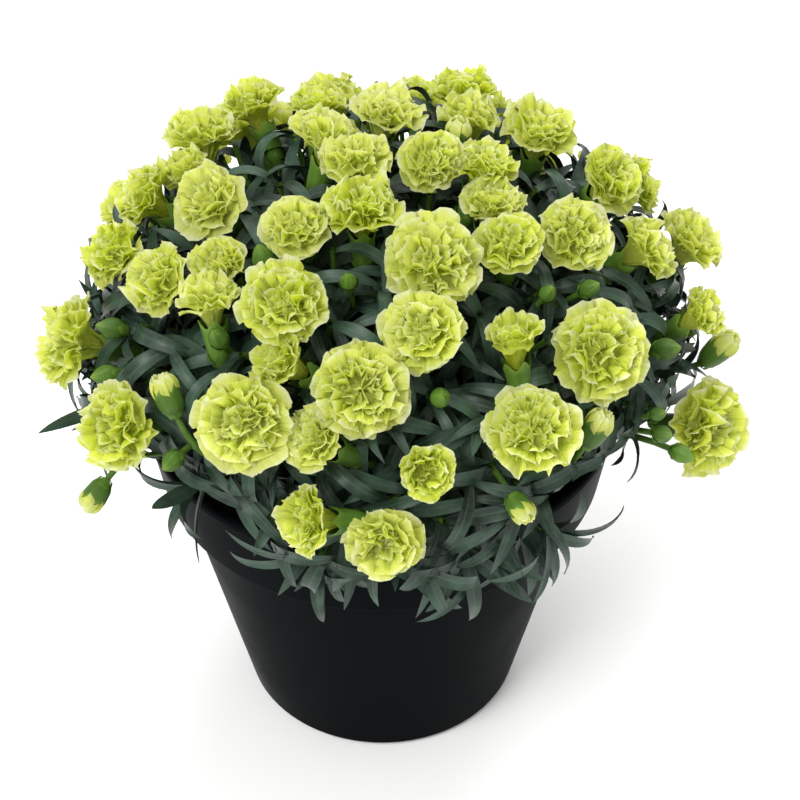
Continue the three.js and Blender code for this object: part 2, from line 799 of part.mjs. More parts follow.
export default dianthus;
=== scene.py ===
"""A dianthus in full bloom in its pot: finer petals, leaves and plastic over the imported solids.

The plant is set out again here by the same named values and the same seeded draws as its solids, in
millimetres with the origin under the pot and the front at -Y. Each piece is turned to metres as it is made.
A bearing is an angle round the pot's axis, 0 at the front and 90 at +X. A tilt is an angle down from +Z.
"""
import math
import re
from collections import namedtuple

import bpy
import numpy as np
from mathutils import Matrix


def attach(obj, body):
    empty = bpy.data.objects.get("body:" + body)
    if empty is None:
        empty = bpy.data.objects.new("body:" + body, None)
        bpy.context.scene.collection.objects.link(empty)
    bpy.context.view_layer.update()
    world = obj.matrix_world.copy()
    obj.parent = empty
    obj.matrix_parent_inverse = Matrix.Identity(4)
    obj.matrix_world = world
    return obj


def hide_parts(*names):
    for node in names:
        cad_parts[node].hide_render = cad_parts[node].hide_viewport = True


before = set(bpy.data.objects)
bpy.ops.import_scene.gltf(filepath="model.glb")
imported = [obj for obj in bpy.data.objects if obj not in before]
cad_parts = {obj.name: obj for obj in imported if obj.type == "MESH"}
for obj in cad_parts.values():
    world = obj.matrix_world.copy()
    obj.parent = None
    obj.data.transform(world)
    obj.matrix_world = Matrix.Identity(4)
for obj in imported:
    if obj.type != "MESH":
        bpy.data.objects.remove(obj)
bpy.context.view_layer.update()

METRES = 0.001
TURN = 2 * math.pi

# ---- the camera ----

CAMERA_RISE = math.radians(42.3)
CAMERA_DISTANCE = 1.2
CAMERA_TARGET = (0.0083, 0.0, 0.1588)
LENS = 123.2
SENSOR = 36.0


def set_camera():
    lens = bpy.data.cameras.new("camera")
    lens.lens = LENS
    lens.sensor_width = SENSOR
    camera = bpy.data.objects.new("camera", lens)
    back = (0.0, -math.cos(CAMERA_RISE), math.sin(CAMERA_RISE))
    camera.location = [t + CAMERA_DISTANCE * b for t, b in zip(CAMERA_TARGET, back)]
    camera.rotation_euler = (math.pi / 2 - CAMERA_RISE, 0.0, 0.0)
    bpy.context.scene.collection.objects.link(camera)
    bpy.context.scene.camera = camera


set_camera()

# ---- the sizes that the plant was set out with ----

POT_HEIGHT = 168
LIP_RADIUS = 105
LIP_DEPTH = 5
LIP_WIDTH = 3.8
BAND_HEIGHT = 41
BAND_FOOT_RADIUS = 97.5
BODY_TOP_RADIUS = 91
BASE_RADIUS = 62.5
WALL = 2.2
DRAIN_HOLES = 4
DRAIN_RADIUS = 5
DRAIN_RING = 42
SHOULDER_Z = POT_HEIGHT - BAND_HEIGHT
LIP_FOOT_Z = POT_HEIGHT - LIP_DEPTH
LIP_INNER_RADIUS = LIP_RADIUS - LIP_WIDTH
FLOOR_TOP = WALL + 0.2

GAP = 0.35
SOIL_EDGE_Z = 152
SOIL_MOUND = 4
CROWN_RADIUS = 11
CROWN_TOP = 160
CROWN_SPREAD = 0.09
CROWN_RING = 44

# How a stem bends: how far below the crown's top it starts, how far it leans out and climbs as it leaves,
# from where on it heads the way that its end faces, and how low that may be.
STEM_START = 4
STEM_LEAN = 0.2
STEM_CLIMB = 0.3
STEM_ARRIVAL = 0.4
LOWEST_ARRIVAL = 176

DOME_CENTRE_Z = 193
DOME_RADIUS = 145
DOME_RISE = 100

CALYX_LENGTH = 17
CALYX_RADIUS = 5
STEM_RADIUS = 1.7
SHOOT_TIP_RADIUS = 1.3
STEM_SPOTS = 28
BUD_LENGTH = 15
BUD_RADIUS = 5
WIDEST_BUD = 1.15  # the size from which a bud only grows longer

LEAF_LENGTH = 46
LEAF_LENGTHS = (0.75, 1.15)
LEAF_WIDTH = 6.4
LEAF_WIDTHS = (0.8, 1.2)
LEAF_KEEL = 0.8
LEAF_CHANNEL = 0.2
LEAF_SLANTS = (25, 55)
LEAF_BENDS = (30, 110)
LEAF_SAG = 0.35
LEAF_STEPS = 12
UPPER_LEAF_SCALE = 0.9
LEAF_TRIES = 8
LEAF_SWAY = 0.25

BLOOM_PETALS = 6
BIG_BLOOM = 37
BIG_BLOOM_PETALS = 7
NECK_RADIUS = 4.4
NECK_DROP = 4.5
NECK_DROP_SHARE = 0.45
CREST_RISE = 1.5
CREST_RISE_SHARE = 0.35

RING_CUTTINGS = 6
RING_START = -180
MIDDLE_TILT = 23
CUTTING_NAMES = ["middle", "back_left", "left", "front_left", "front_right", "right", "back_right"]

# Bearing and tilt on the dome, diameter, the bearing and tilt that it faces, and how far it stands out.
BLOOMS = [
    (-138, 35, 34, -136, 37, 1),
    (-118, 36, 36, -169, 25, 1),
    (-94, 43, 34, -92, 53, 1),
    (-101, 35, 25, -100, 32, 0.98),
    (-78, 29, 35, -45, 36, 1),
    (-80, 50, 34, -80, 50, 1),
    (-63, 44, 33, -60, 48, 1),
    (-56, 34, 26, -30, 24, 0.94),
    (-47, 39, 30, -161, 21, 1),
    (-72, 68, 43, -84, 68, 1),
    (-50, 72, 40, -45, 60, 1),
    (-42, 20, 32, -20, 22, 1),
    (-26, 34, 39, -15, 26, 1.02),
    (-23, 45, 30, -75, 50, 0.96),
    (-25, 57, 43, -20, 50, 1.02),
    (-133, 11, 35, 127, 20, 0.98),
    (-153, 24, 28, 180, 30, 0.97),
    (176, 14, 35, 140, 18, 1),
    (-60, 4, 32, 180, 3, 1.03),
    (-14, 12, 38, -164, 6, 1),
    (84, 8, 30, 10, 28, 1),
    (92, 17, 30, 127, 20, 1),
    (152, 31, 33, -175, 25, 1),
    (138, 24, 30, 167, 22, 0.97),
    (120, 32, 36, 114, 9, 1),
    (71, 20, 30, 135, 6, 0.95),
    (51, 27, 31, 0, 16, 1),
    (70, 35, 34, 30, 30, 1.01),
    (100, 43, 32, 60, 40, 1),
    (110, 56, 30, 95, 60, 0.98),
    (83, 50, 33, 97, 53, 1),
    (101, 70, 35, 114, 45, 1),
    (81, 70, 25, 85, 47, 1),
    (72, 96, 45, 48, 66, 1.01),
    (48, 53, 43, 20, 45, 1.01),
    (33, 43, 27, -149, 18, 0.97),
    (28, 59, 42, 0, 19, 1.02),
    (20, 25, 43, 10, 30, 1),
    (11, 37, 36, -20, 38, 1.05),
    (-4, 47, 43, -5, 44, 1.01),
    (-12, 58, 31, -60, 44, 0.97),
    (-12, 76, 32, -70, 72, 0.97),
    (1, 78, 35, -5, 78, 1.01),
    (8, 62, 27, 15, 50, 1.02),
]

# Two rows round the back: tilt, the bearings that the row runs between, how many, and how far they stand out.
BACK_ROWS = [
    (56, 146, 218, 4, 0.9),
    (77, 134, 238, 7, 0.92),
]

# How far out a bud stands on the dome, down to the tilt below which buds stand right on it.
BUD_REACH = 0.96
LOW_BUD_TILT = 84

# Buds: bearing, tilt, size, and the bearing and tilt they face.
BUDS = [
    (-45, 28, 0.95, -60, 14),
    (-11, 27, 0.7, -10, 30),
    (-66, 59, 0.9, -70, 62),
    (-60, 67, 0.85, -60, 75),
    (-40, 45, 0.85, -30, 30),
    (50, 39, 0.7, 40, 30),
    (61, 44, 0.75, 60, 44),
    (67, 66, 0.95, 60, 60),
    (57, 81, 0.75, 40, 62),
    (59, 88, 0.8, 45, 80),
    (13, 50, 0.8, 10, 40),
    (24, 77, 1, 30, 105),
    (-38, 73, 0.8, -30, 85),
    (-44, 60, 1.25, -137, 32),
    (-54, 96, 1.05, -40, 120),
    (85, 86, 1.5, 80, 35),
    (42, 67, 1.25, 107, 27),
    (128, 17, 1.1, 120, 10),
    (-148, 71, 1, -148, 64),
    (181, 67, 0.9, 181, 60),
    (146, 62, 1.1, 150, 50),
    (57, 75, 0.6, 50, 50),
]

SAME_CUTTING_GAP = 0.7
CLUMP_TOP = 164
RIM_LEAF_SHARES = (0.74, 0.97)
FLOWERING_LEAF_SHARES = (0.9,)
RIM_SHOOTS = 14
RIM_SHOOT_RADIUS = 117
RIM_SHOOT_Z = 178
SIDE_SHOOT_RAISE = 16

# How low a leaf may hang: down the pot's band about the middle bearing, and no lower than the lip past the
# bearings to either side of it.
FRONT_SKIRT_Z = 138
SIDE_SKIRT_Z = 180
SKIRT_MIDDLE = 11
SKIRT_BEARINGS = (28, 42)

BACK_SEED = 11
BLOOM_SEED = 100
STEM_SEED = 300
BUD_SEED = 500
RIM_SEED = 800

# ---- small helpers ----


def seeded_draws(seed):
    """A function that draws a number between two others, and always gives the same draws for a seed."""
    state = (seed * 7919 + 12345) % 2**32

    def draw():
        # A linear congruential generator with its usual multiplier and step.
        nonlocal state
        state = (state * 1664525 + 1013904223) % 2**32
        return state / 2**32

    draw()
    draw()
    return lambda low, high: low + (high - low) * draw()


def vector(x, y, z):
    return np.array([x, y, z], float)


def direction(bearing, tilt):
    """The unit vector at a bearing and a tilt in degrees."""
    b, t = math.radians(bearing), math.radians(tilt)
    return vector(math.sin(t) * math.sin(b), -math.sin(t) * math.cos(b), math.cos(t))


def dome_point(bearing, tilt, reach):
    """A point on the flattened dome that the blooms stand on, which has a reach of 1."""
    d = direction(bearing, tilt)
    radius = DOME_RADIUS * reach
    return vector(radius * d[0], radius * d[1], DOME_CENTRE_Z + DOME_RISE * reach * d[2])


def mix(a, b, share):
    return a + (b - a) * share


def unit(v):
    return v / np.linalg.norm(v)


def crosswise(heading):
    """Two directions at right angles to a heading and to each other, the first of them level."""
    reference = vector(0, 0, 1) if abs(heading[2]) < 0.95 else vector(0, -1, 0)
    side = unit(np.cross(reference, heading))
    return side, np.cross(heading, side)


def even_turns(count):
    return TURN * np.arange(count) / count


def level_ring(radius, turns, height, middle=(0, 0)):
    """Points round an upright axis. The radius and the height may be one for all or one for each turn."""
    x = middle[0] + radius * np.cos(turns)
    y = middle[1] + radius * np.sin(turns)
    return np.stack([x, y, np.broadcast_to(height, turns.shape)], 1)


def eased(low, high, x):
    """0 up to low, 1 from high on, and a smooth step between them."""
    share = np.clip((x - low) / (high - low), 0, 1)
    return share * share * (3 - 2 * share)


# ---- where everything grows ----


class Bloom:
    """A bloom's place and facing, and how far it reaches sideways, below its centre and above it."""

    def __init__(self, number, bearing, tilt, size, face, reach):
        self.number, self.bearing, self.tilt, self.face = number, bearing, tilt, face
        self.centre = dome_point(bearing, tilt, reach)
        self.radius = size / 2
        self.drop = NECK_DROP + NECK_DROP_SHARE * self.radius
        self.crest = CREST_RISE + CREST_RISE_SHARE * self.radius
        self.petals = BIG_BLOOM_PETALS if size > BIG_BLOOM else BLOOM_PETALS


def bloom_list():
    rows = [(b, t, size, direction(fb, ft), reach) for b, t, size, fb, ft, reach in BLOOMS]
    between = seeded_draws(BACK_SEED)
    for tilt, first, last, count, reach in BACK_ROWS:
        for i in range(count):
            bearing = mix(first, last, i / (count - 1)) + between(-3, 3)
            spot = tilt + between(-4, 4)
            size = between(31, 41)
            rows.append((bearing, spot, size, direction(bearing, spot - 8), reach))
    return [Bloom(i + 1, *row) for i, row in enumerate(rows)]


def crown_places():
    ring = [RING_START + (i + 0.5) * 360 / RING_CUTTINGS for i in range(RING_CUTTINGS)]
    return [vector(0, 0, 0)] + [direction(bearing, 90) * CROWN_RING for bearing in ring]


def cutting_for(bearing, tilt):
    """Which cutting bears what grows at a place on the dome: the middle one, or one of the ring."""
    if tilt < MIDDLE_TILT:
        return 0
    return 1 + int(((bearing - RING_START) % 360) * RING_CUTTINGS / 360)


class Stem:
    """A shoot's bent path from its cutting's crown to its end, where it arrives the way that it faces."""

    def __init__(self, cutting, end, face, seed):
        crown = CROWNS[cutting]
        outward = vector(end[0] - crown[0], end[1] - crown[1], 0)
        start = vector(crown[0], crown[1], CROWN_TOP - STEM_START) + CROWN_SPREAD * outward
        reach = np.linalg.norm(start - end)
        leave = start + STEM_LEAN * outward + vector(0, 0, STEM_CLIMB * reach)
        arrive = end - STEM_ARRIVAL * reach * face
        arrive[2] = max(arrive[2], LOWEST_ARRIVAL)
        self.bends = (start, leave, arrive, end)
        self.cutting, self.seed, self.end, self.face = cutting, seed, end, face
        self.tip_radius = STEM_RADIUS
        self.joints = []
        self.top = 1

    def at(self, share):
        a, b, c, d = self.bends
        rest = 1 - share
        return rest**3 * a + 3 * rest * rest * share * b + 3 * rest * share * share * c + share**3 * d

    def heading(self, share):
        low, high = max(0.0, share - 0.0001), min(1.0, share + 0.0001)
        return unit(self.at(high) - self.at(low))

    def spots(self):
        return [(self.at(i / STEM_SPOTS), STEM_RADIUS) for i in range(STEM_SPOTS + 1)]


# ---- keeping things apart ----


def side_share(spot):
    """0 about the skirt's middle and 1 round the sides and the back."""
    bearing = abs(math.degrees(math.atan2(spot[0], -spot[1])) - SKIRT_MIDDLE)
    front, side = SKIRT_BEARINGS
    return min(1, max(0, (bearing - front) / (side - front)))


def above_skirt(spot, side_drop):
    return spot[2] > mix(FRONT_SKIRT_Z, SIDE_SKIRT_Z - side_drop, side_share(spot))


MOST_SPOTS = 40000
LIP_MARGIN = 2  # how far inside the lip a leaf has to be before it may dip into the pot
BLOOM_HEADROOM = 1  # how far over a bloom's crest a leaf may pass
BLOOM_FULLNESS = 1.06  # how much wider than its petals the room is that a bloom takes up
BLOOM_LEVEL = 0.2  # how far below its centre a bloom is that wide, against its radius
BLOOM_SPARE = 1.25  # how many of its own radii a leaf keeps from a bloom


class Crowd:
    """Spots along everything green, each with the cutting and the stem that it belongs to."""

    def __init__(self, blooms):
        self.centres = np.array([b.centre for b in blooms])
        self.faces = np.array([b.face for b in blooms])
        self.radii = np.array([b.radius for b in blooms])
        self.drops = np.array([b.drop for b in blooms])
        self.crests = np.array([b.crest for b in blooms])
        self.spots = np.zeros((MOST_SPOTS, 3))
        self.sizes = np.zeros(MOST_SPOTS)
        self.cuttings = np.zeros(MOST_SPOTS, int)
        self.owners = np.zeros(MOST_SPOTS, int)
        self.count = 0

    def occupy(self, spots, stem, owner):
        for spot, radius in spots:
            self.spots[self.count] = spot
            self.sizes[self.count] = radius
            self.cuttings[self.count] = stem.cutting
            self.owners[self.count] = owner
            self.count += 1

    @staticmethod
    def clear_of_pot(spot, radius):
        across = math.hypot(spot[0], spot[1])
        if across > LIP_RADIUS + radius + GAP:
            return True
        if across > LIP_INNER_RADIUS - radius - LIP_MARGIN:
            return spot[2] > POT_HEIGHT + radius + GAP
        return spot[2] > SOIL_EDGE_Z + SOIL_MOUND + radius

    def clear_of_blooms(self, spot, radius):
        offset = spot - self.centres
        height = (offset * self.faces).sum(1)
        beyond = (height > self.crests + radius + BLOOM_HEADROOM) | (height < -self.drops - radius - GAP)
        across = np.sqrt(np.maximum(0, (offset**2).sum(1) - height**2))
        share = np.clip((height + self.drops) / (self.drops - BLOOM_LEVEL * self.radii), 0, 1)
        girth = NECK_RADIUS + (self.radii * BLOOM_FULLNESS - NECK_RADIUS) * share
        return bool(np.all(beyond | (across > girth + BLOOM_SPARE * radius + GAP)))

    def clear_of_green(self, spot, radius, stem, same_gap, other_gap):
        n = self.count
        apart = np.linalg.norm(self.spots[:n] - spot, axis=1)
        near = self.sizes[:n] + radius
        same = self.cuttings[:n] == stem.cutting
        fine_same = (self.owners[:n] == stem.seed) | (apart > same_gap * near)
        fine_other = apart > other_gap * near + (GAP if other_gap == 1 else 0)
        return bool(np.all(np.where(same, fine_same, fine_other)))

    def is_clear(self, spots, stem, same_gap=SAME_CUTTING_GAP, other_gap=1, side_drop=0):
        return all(
            above_skirt(spot, side_drop)
            and self.clear_of_pot(spot, radius)
            and self.clear_of_blooms(spot, radius)
            and self.clear_of_green(spot, radius, stem, same_gap, other_gap)
            for spot, radius in spots
        )


# ---- sheets gathered into one mesh ----

PLACE = "place"  # how far across a blade and how far along it
TONE = "tone"  # a draw for each blade, and a second one for its bloom or its underside
BAKE_MAP = "OFBake"


class Gathered:
    """Grids of points gathered into one mesh, each with a patch of its own on the bake map."""

    def __init__(self):
        self.points, self.faces, self.places, self.tones, self.finishes = [], [], [], [], []
        self.corners, self.patches = [], []
        self.count = 0

    def add(self, grid, across=None, along=None, tone=0.5, side=0.0, wrap=False, finish=0, size=None):
        """grid[row, column] holds points, and with wrap the last column meets the first. across and along
        place its columns and rows for the finish, evenly from 0 to 1 if they aren't given."""
        rows, columns = grid.shape[:2]
        if across is None:
            across = np.linspace(0, 1, columns + int(wrap))
        if along is None:
            along = np.linspace(0, 1, rows)
        steps = columns if wrap else columns - 1
        row, column = np.meshgrid(np.arange(rows - 1), np.arange(steps), indexing="ij")
        row, column = row.ravel(), column.ravel()
        r = np.stack([row, row, row + 1, row + 1], 1)
        c = np.stack([column, column + 1, column + 1, column], 1)
        across, along = np.asarray(across, float), np.asarray(along, float)
        up = along[r] if along.ndim == 1 else along[r, c % along.shape[1]]
        tones = np.empty((len(r), 4, 2))
        tones[:, :, 0] = tone
        tones[:, :, 1] = np.broadcast_to(np.asarray(side, float), (steps,))[column][:, None]
        self.points.append(grid.reshape(-1, 3))
        self.faces.append(self.count + r * columns + c % columns)
        self.places.append(np.stack([across[c], up], 2).reshape(-1, 2))
        self.tones.append(tones.reshape(-1, 2))
        self.finishes.append(np.full(len(r), finish))
        self.corners.append(np.stack([c / steps, r / (rows - 1)], 2).reshape(-1, 2))
        if size is None:
            length = np.linalg.norm(np.diff(grid[:, columns // 2], axis=0), axis=1).sum()
            width = np.linalg.norm(np.diff(grid[rows // 2], axis=0), axis=1).sum() * (1.1 if wrap else 1)
            size = (max(width, 1.0), max(length, 1.0))
        self.patches.append(size)
        self.count += rows * columns

    def laid_out(self):
        """Where each patch lies on the bake map: rows of patches, the tallest first."""
        sizes = np.array(self.patches)
        margin = 0.04 * np.sqrt((sizes[:, 0] * sizes[:, 1]).mean())
        order = np.argsort(-sizes[:, 1], kind="stable")
        side = 1.02 * math.sqrt(((sizes[:, 0] + margin) * (sizes[:, 1] + margin)).sum())
        while True:
            corners = np.zeros((len(sizes), 2))
            x = y = tall = 0.0
            for i in order:
                wide, high = sizes[i] + margin
                if x + wide > side:
                    x, y, tall = 0.0, y + tall, 0.0
                corners[i] = x, y
                x += wide
                tall = max(tall, high)
            if y + tall <= side and x <= side:
                return corners / side, sizes / side, 0.5 * margin / side
            side *= 1.01

    def mesh(self, name):
        points = np.concatenate(self.points) * METRES
        faces = np.concatenate(self.faces)
        made = bpy.data.meshes.new(name)
        made.vertices.add(len(points))
        made.vertices.foreach_set("co", points.astype(np.float32).ravel())
        made.loops.add(faces.size)
        made.loops.foreach_set("vertex_index", faces.astype(np.int32).ravel())
        made.polygons.add(len(faces))
        made.polygons.foreach_set("loop_start", np.arange(0, faces.size, 4, dtype=np.int32))
        made.polygons.foreach_set("material_index", np.concatenate(self.finishes).astype(np.int32))
        made.update(calc_edges=True)
        corners, sizes, margin = self.laid_out()
        bake = [corners[i] + margin + own * sizes[i] for i, own in enumerate(self.corners)]
        for layer, values in ((PLACE, self.places), (TONE, self.tones), (BAKE_MAP, bake)):
            flat = np.concatenate(values).astype(np.float32).ravel()
            made.uv_layers.new(name=layer).data.foreach_set("uv", flat)
        made.polygons.foreach_set("use_smooth", np.ones(len(faces), bool))
        made.validate()
        return made


def dress(gathered, name, finishes, slot, *nodes, crease=None):
    """One piece of the given finishes that stands for the named solids."""
    made = gathered.mesh(name)
    for finish in finishes:
        made.materials.append(finish)
    if crease:
        made.set_sharp_from_angle(angle=math.radians(crease))
    piece = bpy.data.objects.new(name, made)
    bpy.context.scene.collection.objects.link(piece)
    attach(piece, "root")
    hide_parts(*nodes)


# ---- finishes ----


def colour(code):
    """An sRGB hex value turned to linear."""
    parts = [int(code[i : i + 2], 16) / 255 for i in (1, 3, 5)]
    return [p / 12.92 if p <= 0.04045 else ((p + 0.055) / 1.055) ** 2.4 for p in parts] + [1.0]


def add_node(tree, kind, inputs=(), output=0, **settings):
    """One node with its settings, its inputs set or linked by name or place. Gives the output asked for."""
    made = tree.nodes.new(kind)
    for key, value in settings.items():
        setattr(made, key, value)
    for key, value in dict(inputs).items():
        if isinstance(value, bpy.types.NodeSocket):
            tree.links.new(value, made.inputs[key])
        else:
            made.inputs[key].default_value = value
    return made.outputs[output] if made.outputs else None


def new_finish(surface):
    """A material named after the function that lays its surface node by node."""
    finish = bpy.data.materials.new(surface.__name__)
    finish.use_nodes = True
    finish.node_tree.nodes.clear()
    add_node(finish.node_tree, "ShaderNodeOutputMaterial", {0: surface(finish.node_tree)})
    return finish


def read_layer(tree, layer):
    """What a layer holds, as a whole and as its two values."""
    whole = add_node(tree, "ShaderNodeUVMap", uv_map=layer)
    return whole, *(add_node(tree, "ShaderNodeSeparateXYZ", {0: whole}, output=i) for i in (0, 1))


# A Mix node that mixes colours: its share is input 0, its two colours are inputs A and B.
COLOURS = {"data_type": "RGBA", "output": 2}
A, B = 6, 7


def petal_fresh_carnation(tree):
    """Fresh carnation petal: thin, soft and matt, with light passing through it.

    It gives the eye a lime blade that deepens to yellow-green towards the claw (partly the petal's own
    greener base, partly painted shade for the depths of the bloom), fine veins that fan out along it, blooms
    and petals that are a little paler than their neighbours, and a thin cream margin.
    """
    place, _, up = read_layer(tree, PLACE)
    tone, own, bloom = read_layer(tree, TONE)
    spot = add_node(tree, "ShaderNodeTexCoord", output="Object")
    # Patches about 8 mm across, and veins about 0.9 mm apart that run up the blade.
    patches = add_node(tree, "ShaderNodeTexNoise", {"Vector": spot, "Scale": 1000 / 8, "Detail": 3.0})
    fan = add_node(tree, "ShaderNodeMapping", {"Vector": place, "Scale": (12.0, 1.4, 1.0)})
    shifted = add_node(tree, "ShaderNodeVectorMath", {0: fan, 1: tone}, operation="ADD")
    veins = add_node(tree, "ShaderNodeTexNoise", {"Vector": shifted, "Scale": 1.0, "Detail": 3.0})
    # How far up the blade, made a little uneven by the patches.
    uneven = add_node(tree, "ShaderNodeMath", {0: patches, 1: 0.2, 2: -0.1}, operation="MULTIPLY_ADD")
    height = add_node(tree, "ShaderNodeMath", {0: up, 1: uneven}, operation="ADD")
    # Painted shade in part: low on the blade, deep in the bloom, the colour turns to the claw's, which stands
    # partly for the petal's own greener base and partly for the saturated shade between the petals.
    opened = add_node(tree, "ShaderNodeMapRange", {"Value": height, "From Min": 0.15, "From Max": 0.6},
                      interpolation_type="SMOOTHSTEP")
    margin = add_node(tree, "ShaderNodeMapRange", {"Value": height, "From Min": 0.87, "From Max": 1.0},
                      interpolation_type="SMOOTHSTEP")
    blade_with_claw_shade = add_node(tree, "ShaderNodeMix", {0: opened, A: colour("#BFD014"), B: colour("#E0EA2C")},
                     **COLOURS)
    outer = add_node(tree, "ShaderNodeMapRange",
                     {"Value": height, "From Min": 0.5, "From Max": 0.95, "To Min": 0.0, "To Max": 0.5})
    paler = add_node(tree, "ShaderNodeMath", {0: own, 1: 0.3, 2: outer}, operation="MULTIPLY_ADD")
    pale = add_node(tree, "ShaderNodeMath", {0: bloom, 1: 0.45, 2: paler}, operation="MULTIPLY_ADD")
    varied = add_node(tree, "ShaderNodeMix", {0: pale, A: blade_with_claw_shade, B: colour("#EFF298")}, **COLOURS)
    edged = add_node(tree, "ShaderNodeMix", {0: margin, A: varied, B: colour("#F5F6CE")}, **COLOURS)
    lines = add_node(tree, "ShaderNodeMapRange",
                     {"Value": veins, "From Min": 0.35, "From Max": 0.62, "To Min": 0.3, "To Max": 0.0})
    veined = add_node(tree, "ShaderNodeMix", {0: lines, A: edged, B: colour("#C2D02A")}, **COLOURS)
    # Crinkles about 2.5 mm across.
    crinkles = add_node(tree, "ShaderNodeTexNoise", {"Vector": spot, "Scale": 1000 / 2.5, "Detail": 2.0})
    relief = add_node(tree, "ShaderNodeMath", {0: veins, 1: 0.6, 2: crinkles}, operation="MULTIPLY_ADD")
    bump = add_node(tree, "ShaderNodeBump", {"Height": relief, "Strength": 0.55, "Distance": 0.0008})
    front = add_node(tree, "ShaderNodeBsdfPrincipled", {
        "Base Color": veined, "Roughness": 0.6, "IOR": 1.4, "Specular IOR Level": 0.35, "Normal": bump})
    deeper = add_node(tree, "ShaderNodeGamma", {"Color": veined, "Gamma": 1.4})
    through = add_node(tree, "ShaderNodeBsdfTranslucent", {"Color": deeper, "Normal": bump})
    return add_node(tree, "ShaderNodeMixShader", {0: 0.58, 1: front, 2: through})


def leaf_waxy_dianthus(tree):
    """Living dianthus leaf: firm, with a thin waxy bloom over grey-green flesh.

    It gives the eye a dark, cool green blade with a soft wide highlight, a paler line down the channel,
    faint lines side by side along it, a greyer underside, and leaves that differ from each other.
    """
    place, across, _ = read_layer(tree, PLACE)
    _, own, under = read_layer(tree, TONE)
    spot = add_node(tree, "ShaderNodeTexCoord", output="Object")
    # Wax lies in patches about 10 mm across.
    wax = add_node(tree, "ShaderNodeTexNoise", {"Vector": spot, "Scale": 1000 / 10, "Detail": 3.0})
    base = add_node(tree, "ShaderNodeMix", {0: own, A: colour("#0C140E"), B: colour("#2C3E32")}, **COLOURS)
    share = add_node(tree, "ShaderNodeMapRange",
                     {"Value": wax, "From Min": 0.4, "From Max": 0.75, "To Min": 0.0, "To Max": 0.5})
    waxed = add_node(tree, "ShaderNodeMix", {0: share, A: base, B: colour("#4E6958")}, **COLOURS)
    # The channel's paler line is 0.6 mm wide on a blade 6 mm wide.
    from_middle = add_node(tree, "ShaderNodeMath", {0: across}, operation="ABSOLUTE")
    line = add_node(tree, "ShaderNodeMapRange",
                    {"Value": from_middle, "From Min": 0.04, "From Max": 0.16, "To Min": 0.3, "To Max": 0.0})
    ribbed = add_node(tree, "ShaderNodeMix", {0: line, A: waxed, B: colour("#4A6552")}, **COLOURS)
    # Veins 0.7 mm apart along the blade.
    run = add_node(tree, "ShaderNodeMapping", {"Vector": place, "Scale": (8.0, 0.8, 1.0)})
    veins = add_node(tree, "ShaderNodeTexNoise", {"Vector": run, "Scale": 1.0, "Detail": 2.0})
    faint = add_node(tree, "ShaderNodeMapRange",
                     {"Value": veins, "From Min": 0.4, "From Max": 0.7, "To Min": 0.0, "To Max": 0.2})
    lined = add_node(tree, "ShaderNodeMix", {0: faint, A: ribbed, B: colour("#3F5A46")}, **COLOURS)
    greyer = add_node(tree, "ShaderNodeMath", {0: under, 1: 0.4}, operation="MULTIPLY")
    sided = add_node(tree, "ShaderNodeMix", {0: greyer, A: lined, B: colour("#3E5244")}, **COLOURS)
    bump = add_node(tree, "ShaderNodeBump", {"Height": veins, "Strength": 0.4, "Distance": 0.0004})
    return add_node(tree, "ShaderNodeBsdfPrincipled", {
        "Base Color": sided, "Roughness": 0.36, "IOR": 1.42, "Specular IOR Level": 0.34, "Normal": bump})


def calyx_smooth_green_skin(tree):
    """Green stalk, calyx and bud: smooth, taut young skin with a thin wax.

    It gives the eye a fresher, yellower green than the leaves, with fine ribs along it and a paler tip.
    """
    place, _, along = read_layer(tree, PLACE)
    _, own, _ = read_layer(tree, TONE)
    spot = add_node(tree, "ShaderNodeTexCoord", output="Object")
    # Patches about 5 mm across, and ribs 0.7 mm apart round a stalk and 2 mm apart round a calyx.
    patches = add_node(tree, "ShaderNodeTexNoise", {"Vector": spot, "Scale": 1000 / 5, "Detail": 2.0})
    base = add_node(tree, "ShaderNodeMix", {0: own, A: colour("#2F4A1A"), B: colour("#547829")}, **COLOURS)
    half = add_node(tree, "ShaderNodeMath", {0: patches, 1: 0.4}, operation="MULTIPLY")
    fresh = add_node(tree, "ShaderNodeMix", {0: half, A: base, B: colour("#6A8E34")}, **COLOURS)
    tip = add_node(tree, "ShaderNodeMapRange",
                   {"Value": along, "From Min": 0.7, "From Max": 1.0, "To Min": 0.0, "To Max": 0.5})
    tipped = add_node(tree, "ShaderNodeMix", {0: tip, A: fresh, B: colour("#86A440")}, **COLOURS)
    ribs = add_node(tree, "ShaderNodeMapping", {"Vector": place, "Scale": (16.0, 0.6, 1.0)})
    lines = add_node(tree, "ShaderNodeTexNoise", {"Vector": ribs, "Scale": 1.0, "Detail": 2.0})
    darker = add_node(tree, "ShaderNodeMapRange",
                      {"Value": lines, "From Min": 0.35, "From Max": 0.6, "To Min": 0.3, "To Max": 0.0})
    ribbed = add_node(tree, "ShaderNodeMix", {0: darker, A: tipped, B: colour("#2E4718")}, **COLOURS)
    bump = add_node(tree, "ShaderNodeBump", {"Height": lines, "Strength": 0.35, "Distance": 0.0005})
    return add_node(tree, "ShaderNodeBsdfPrincipled", {
        "Base Color": ribbed, "Roughness": 0.45, "IOR": 1.42, "Specular IOR Level": 0.3, "Normal": bump})


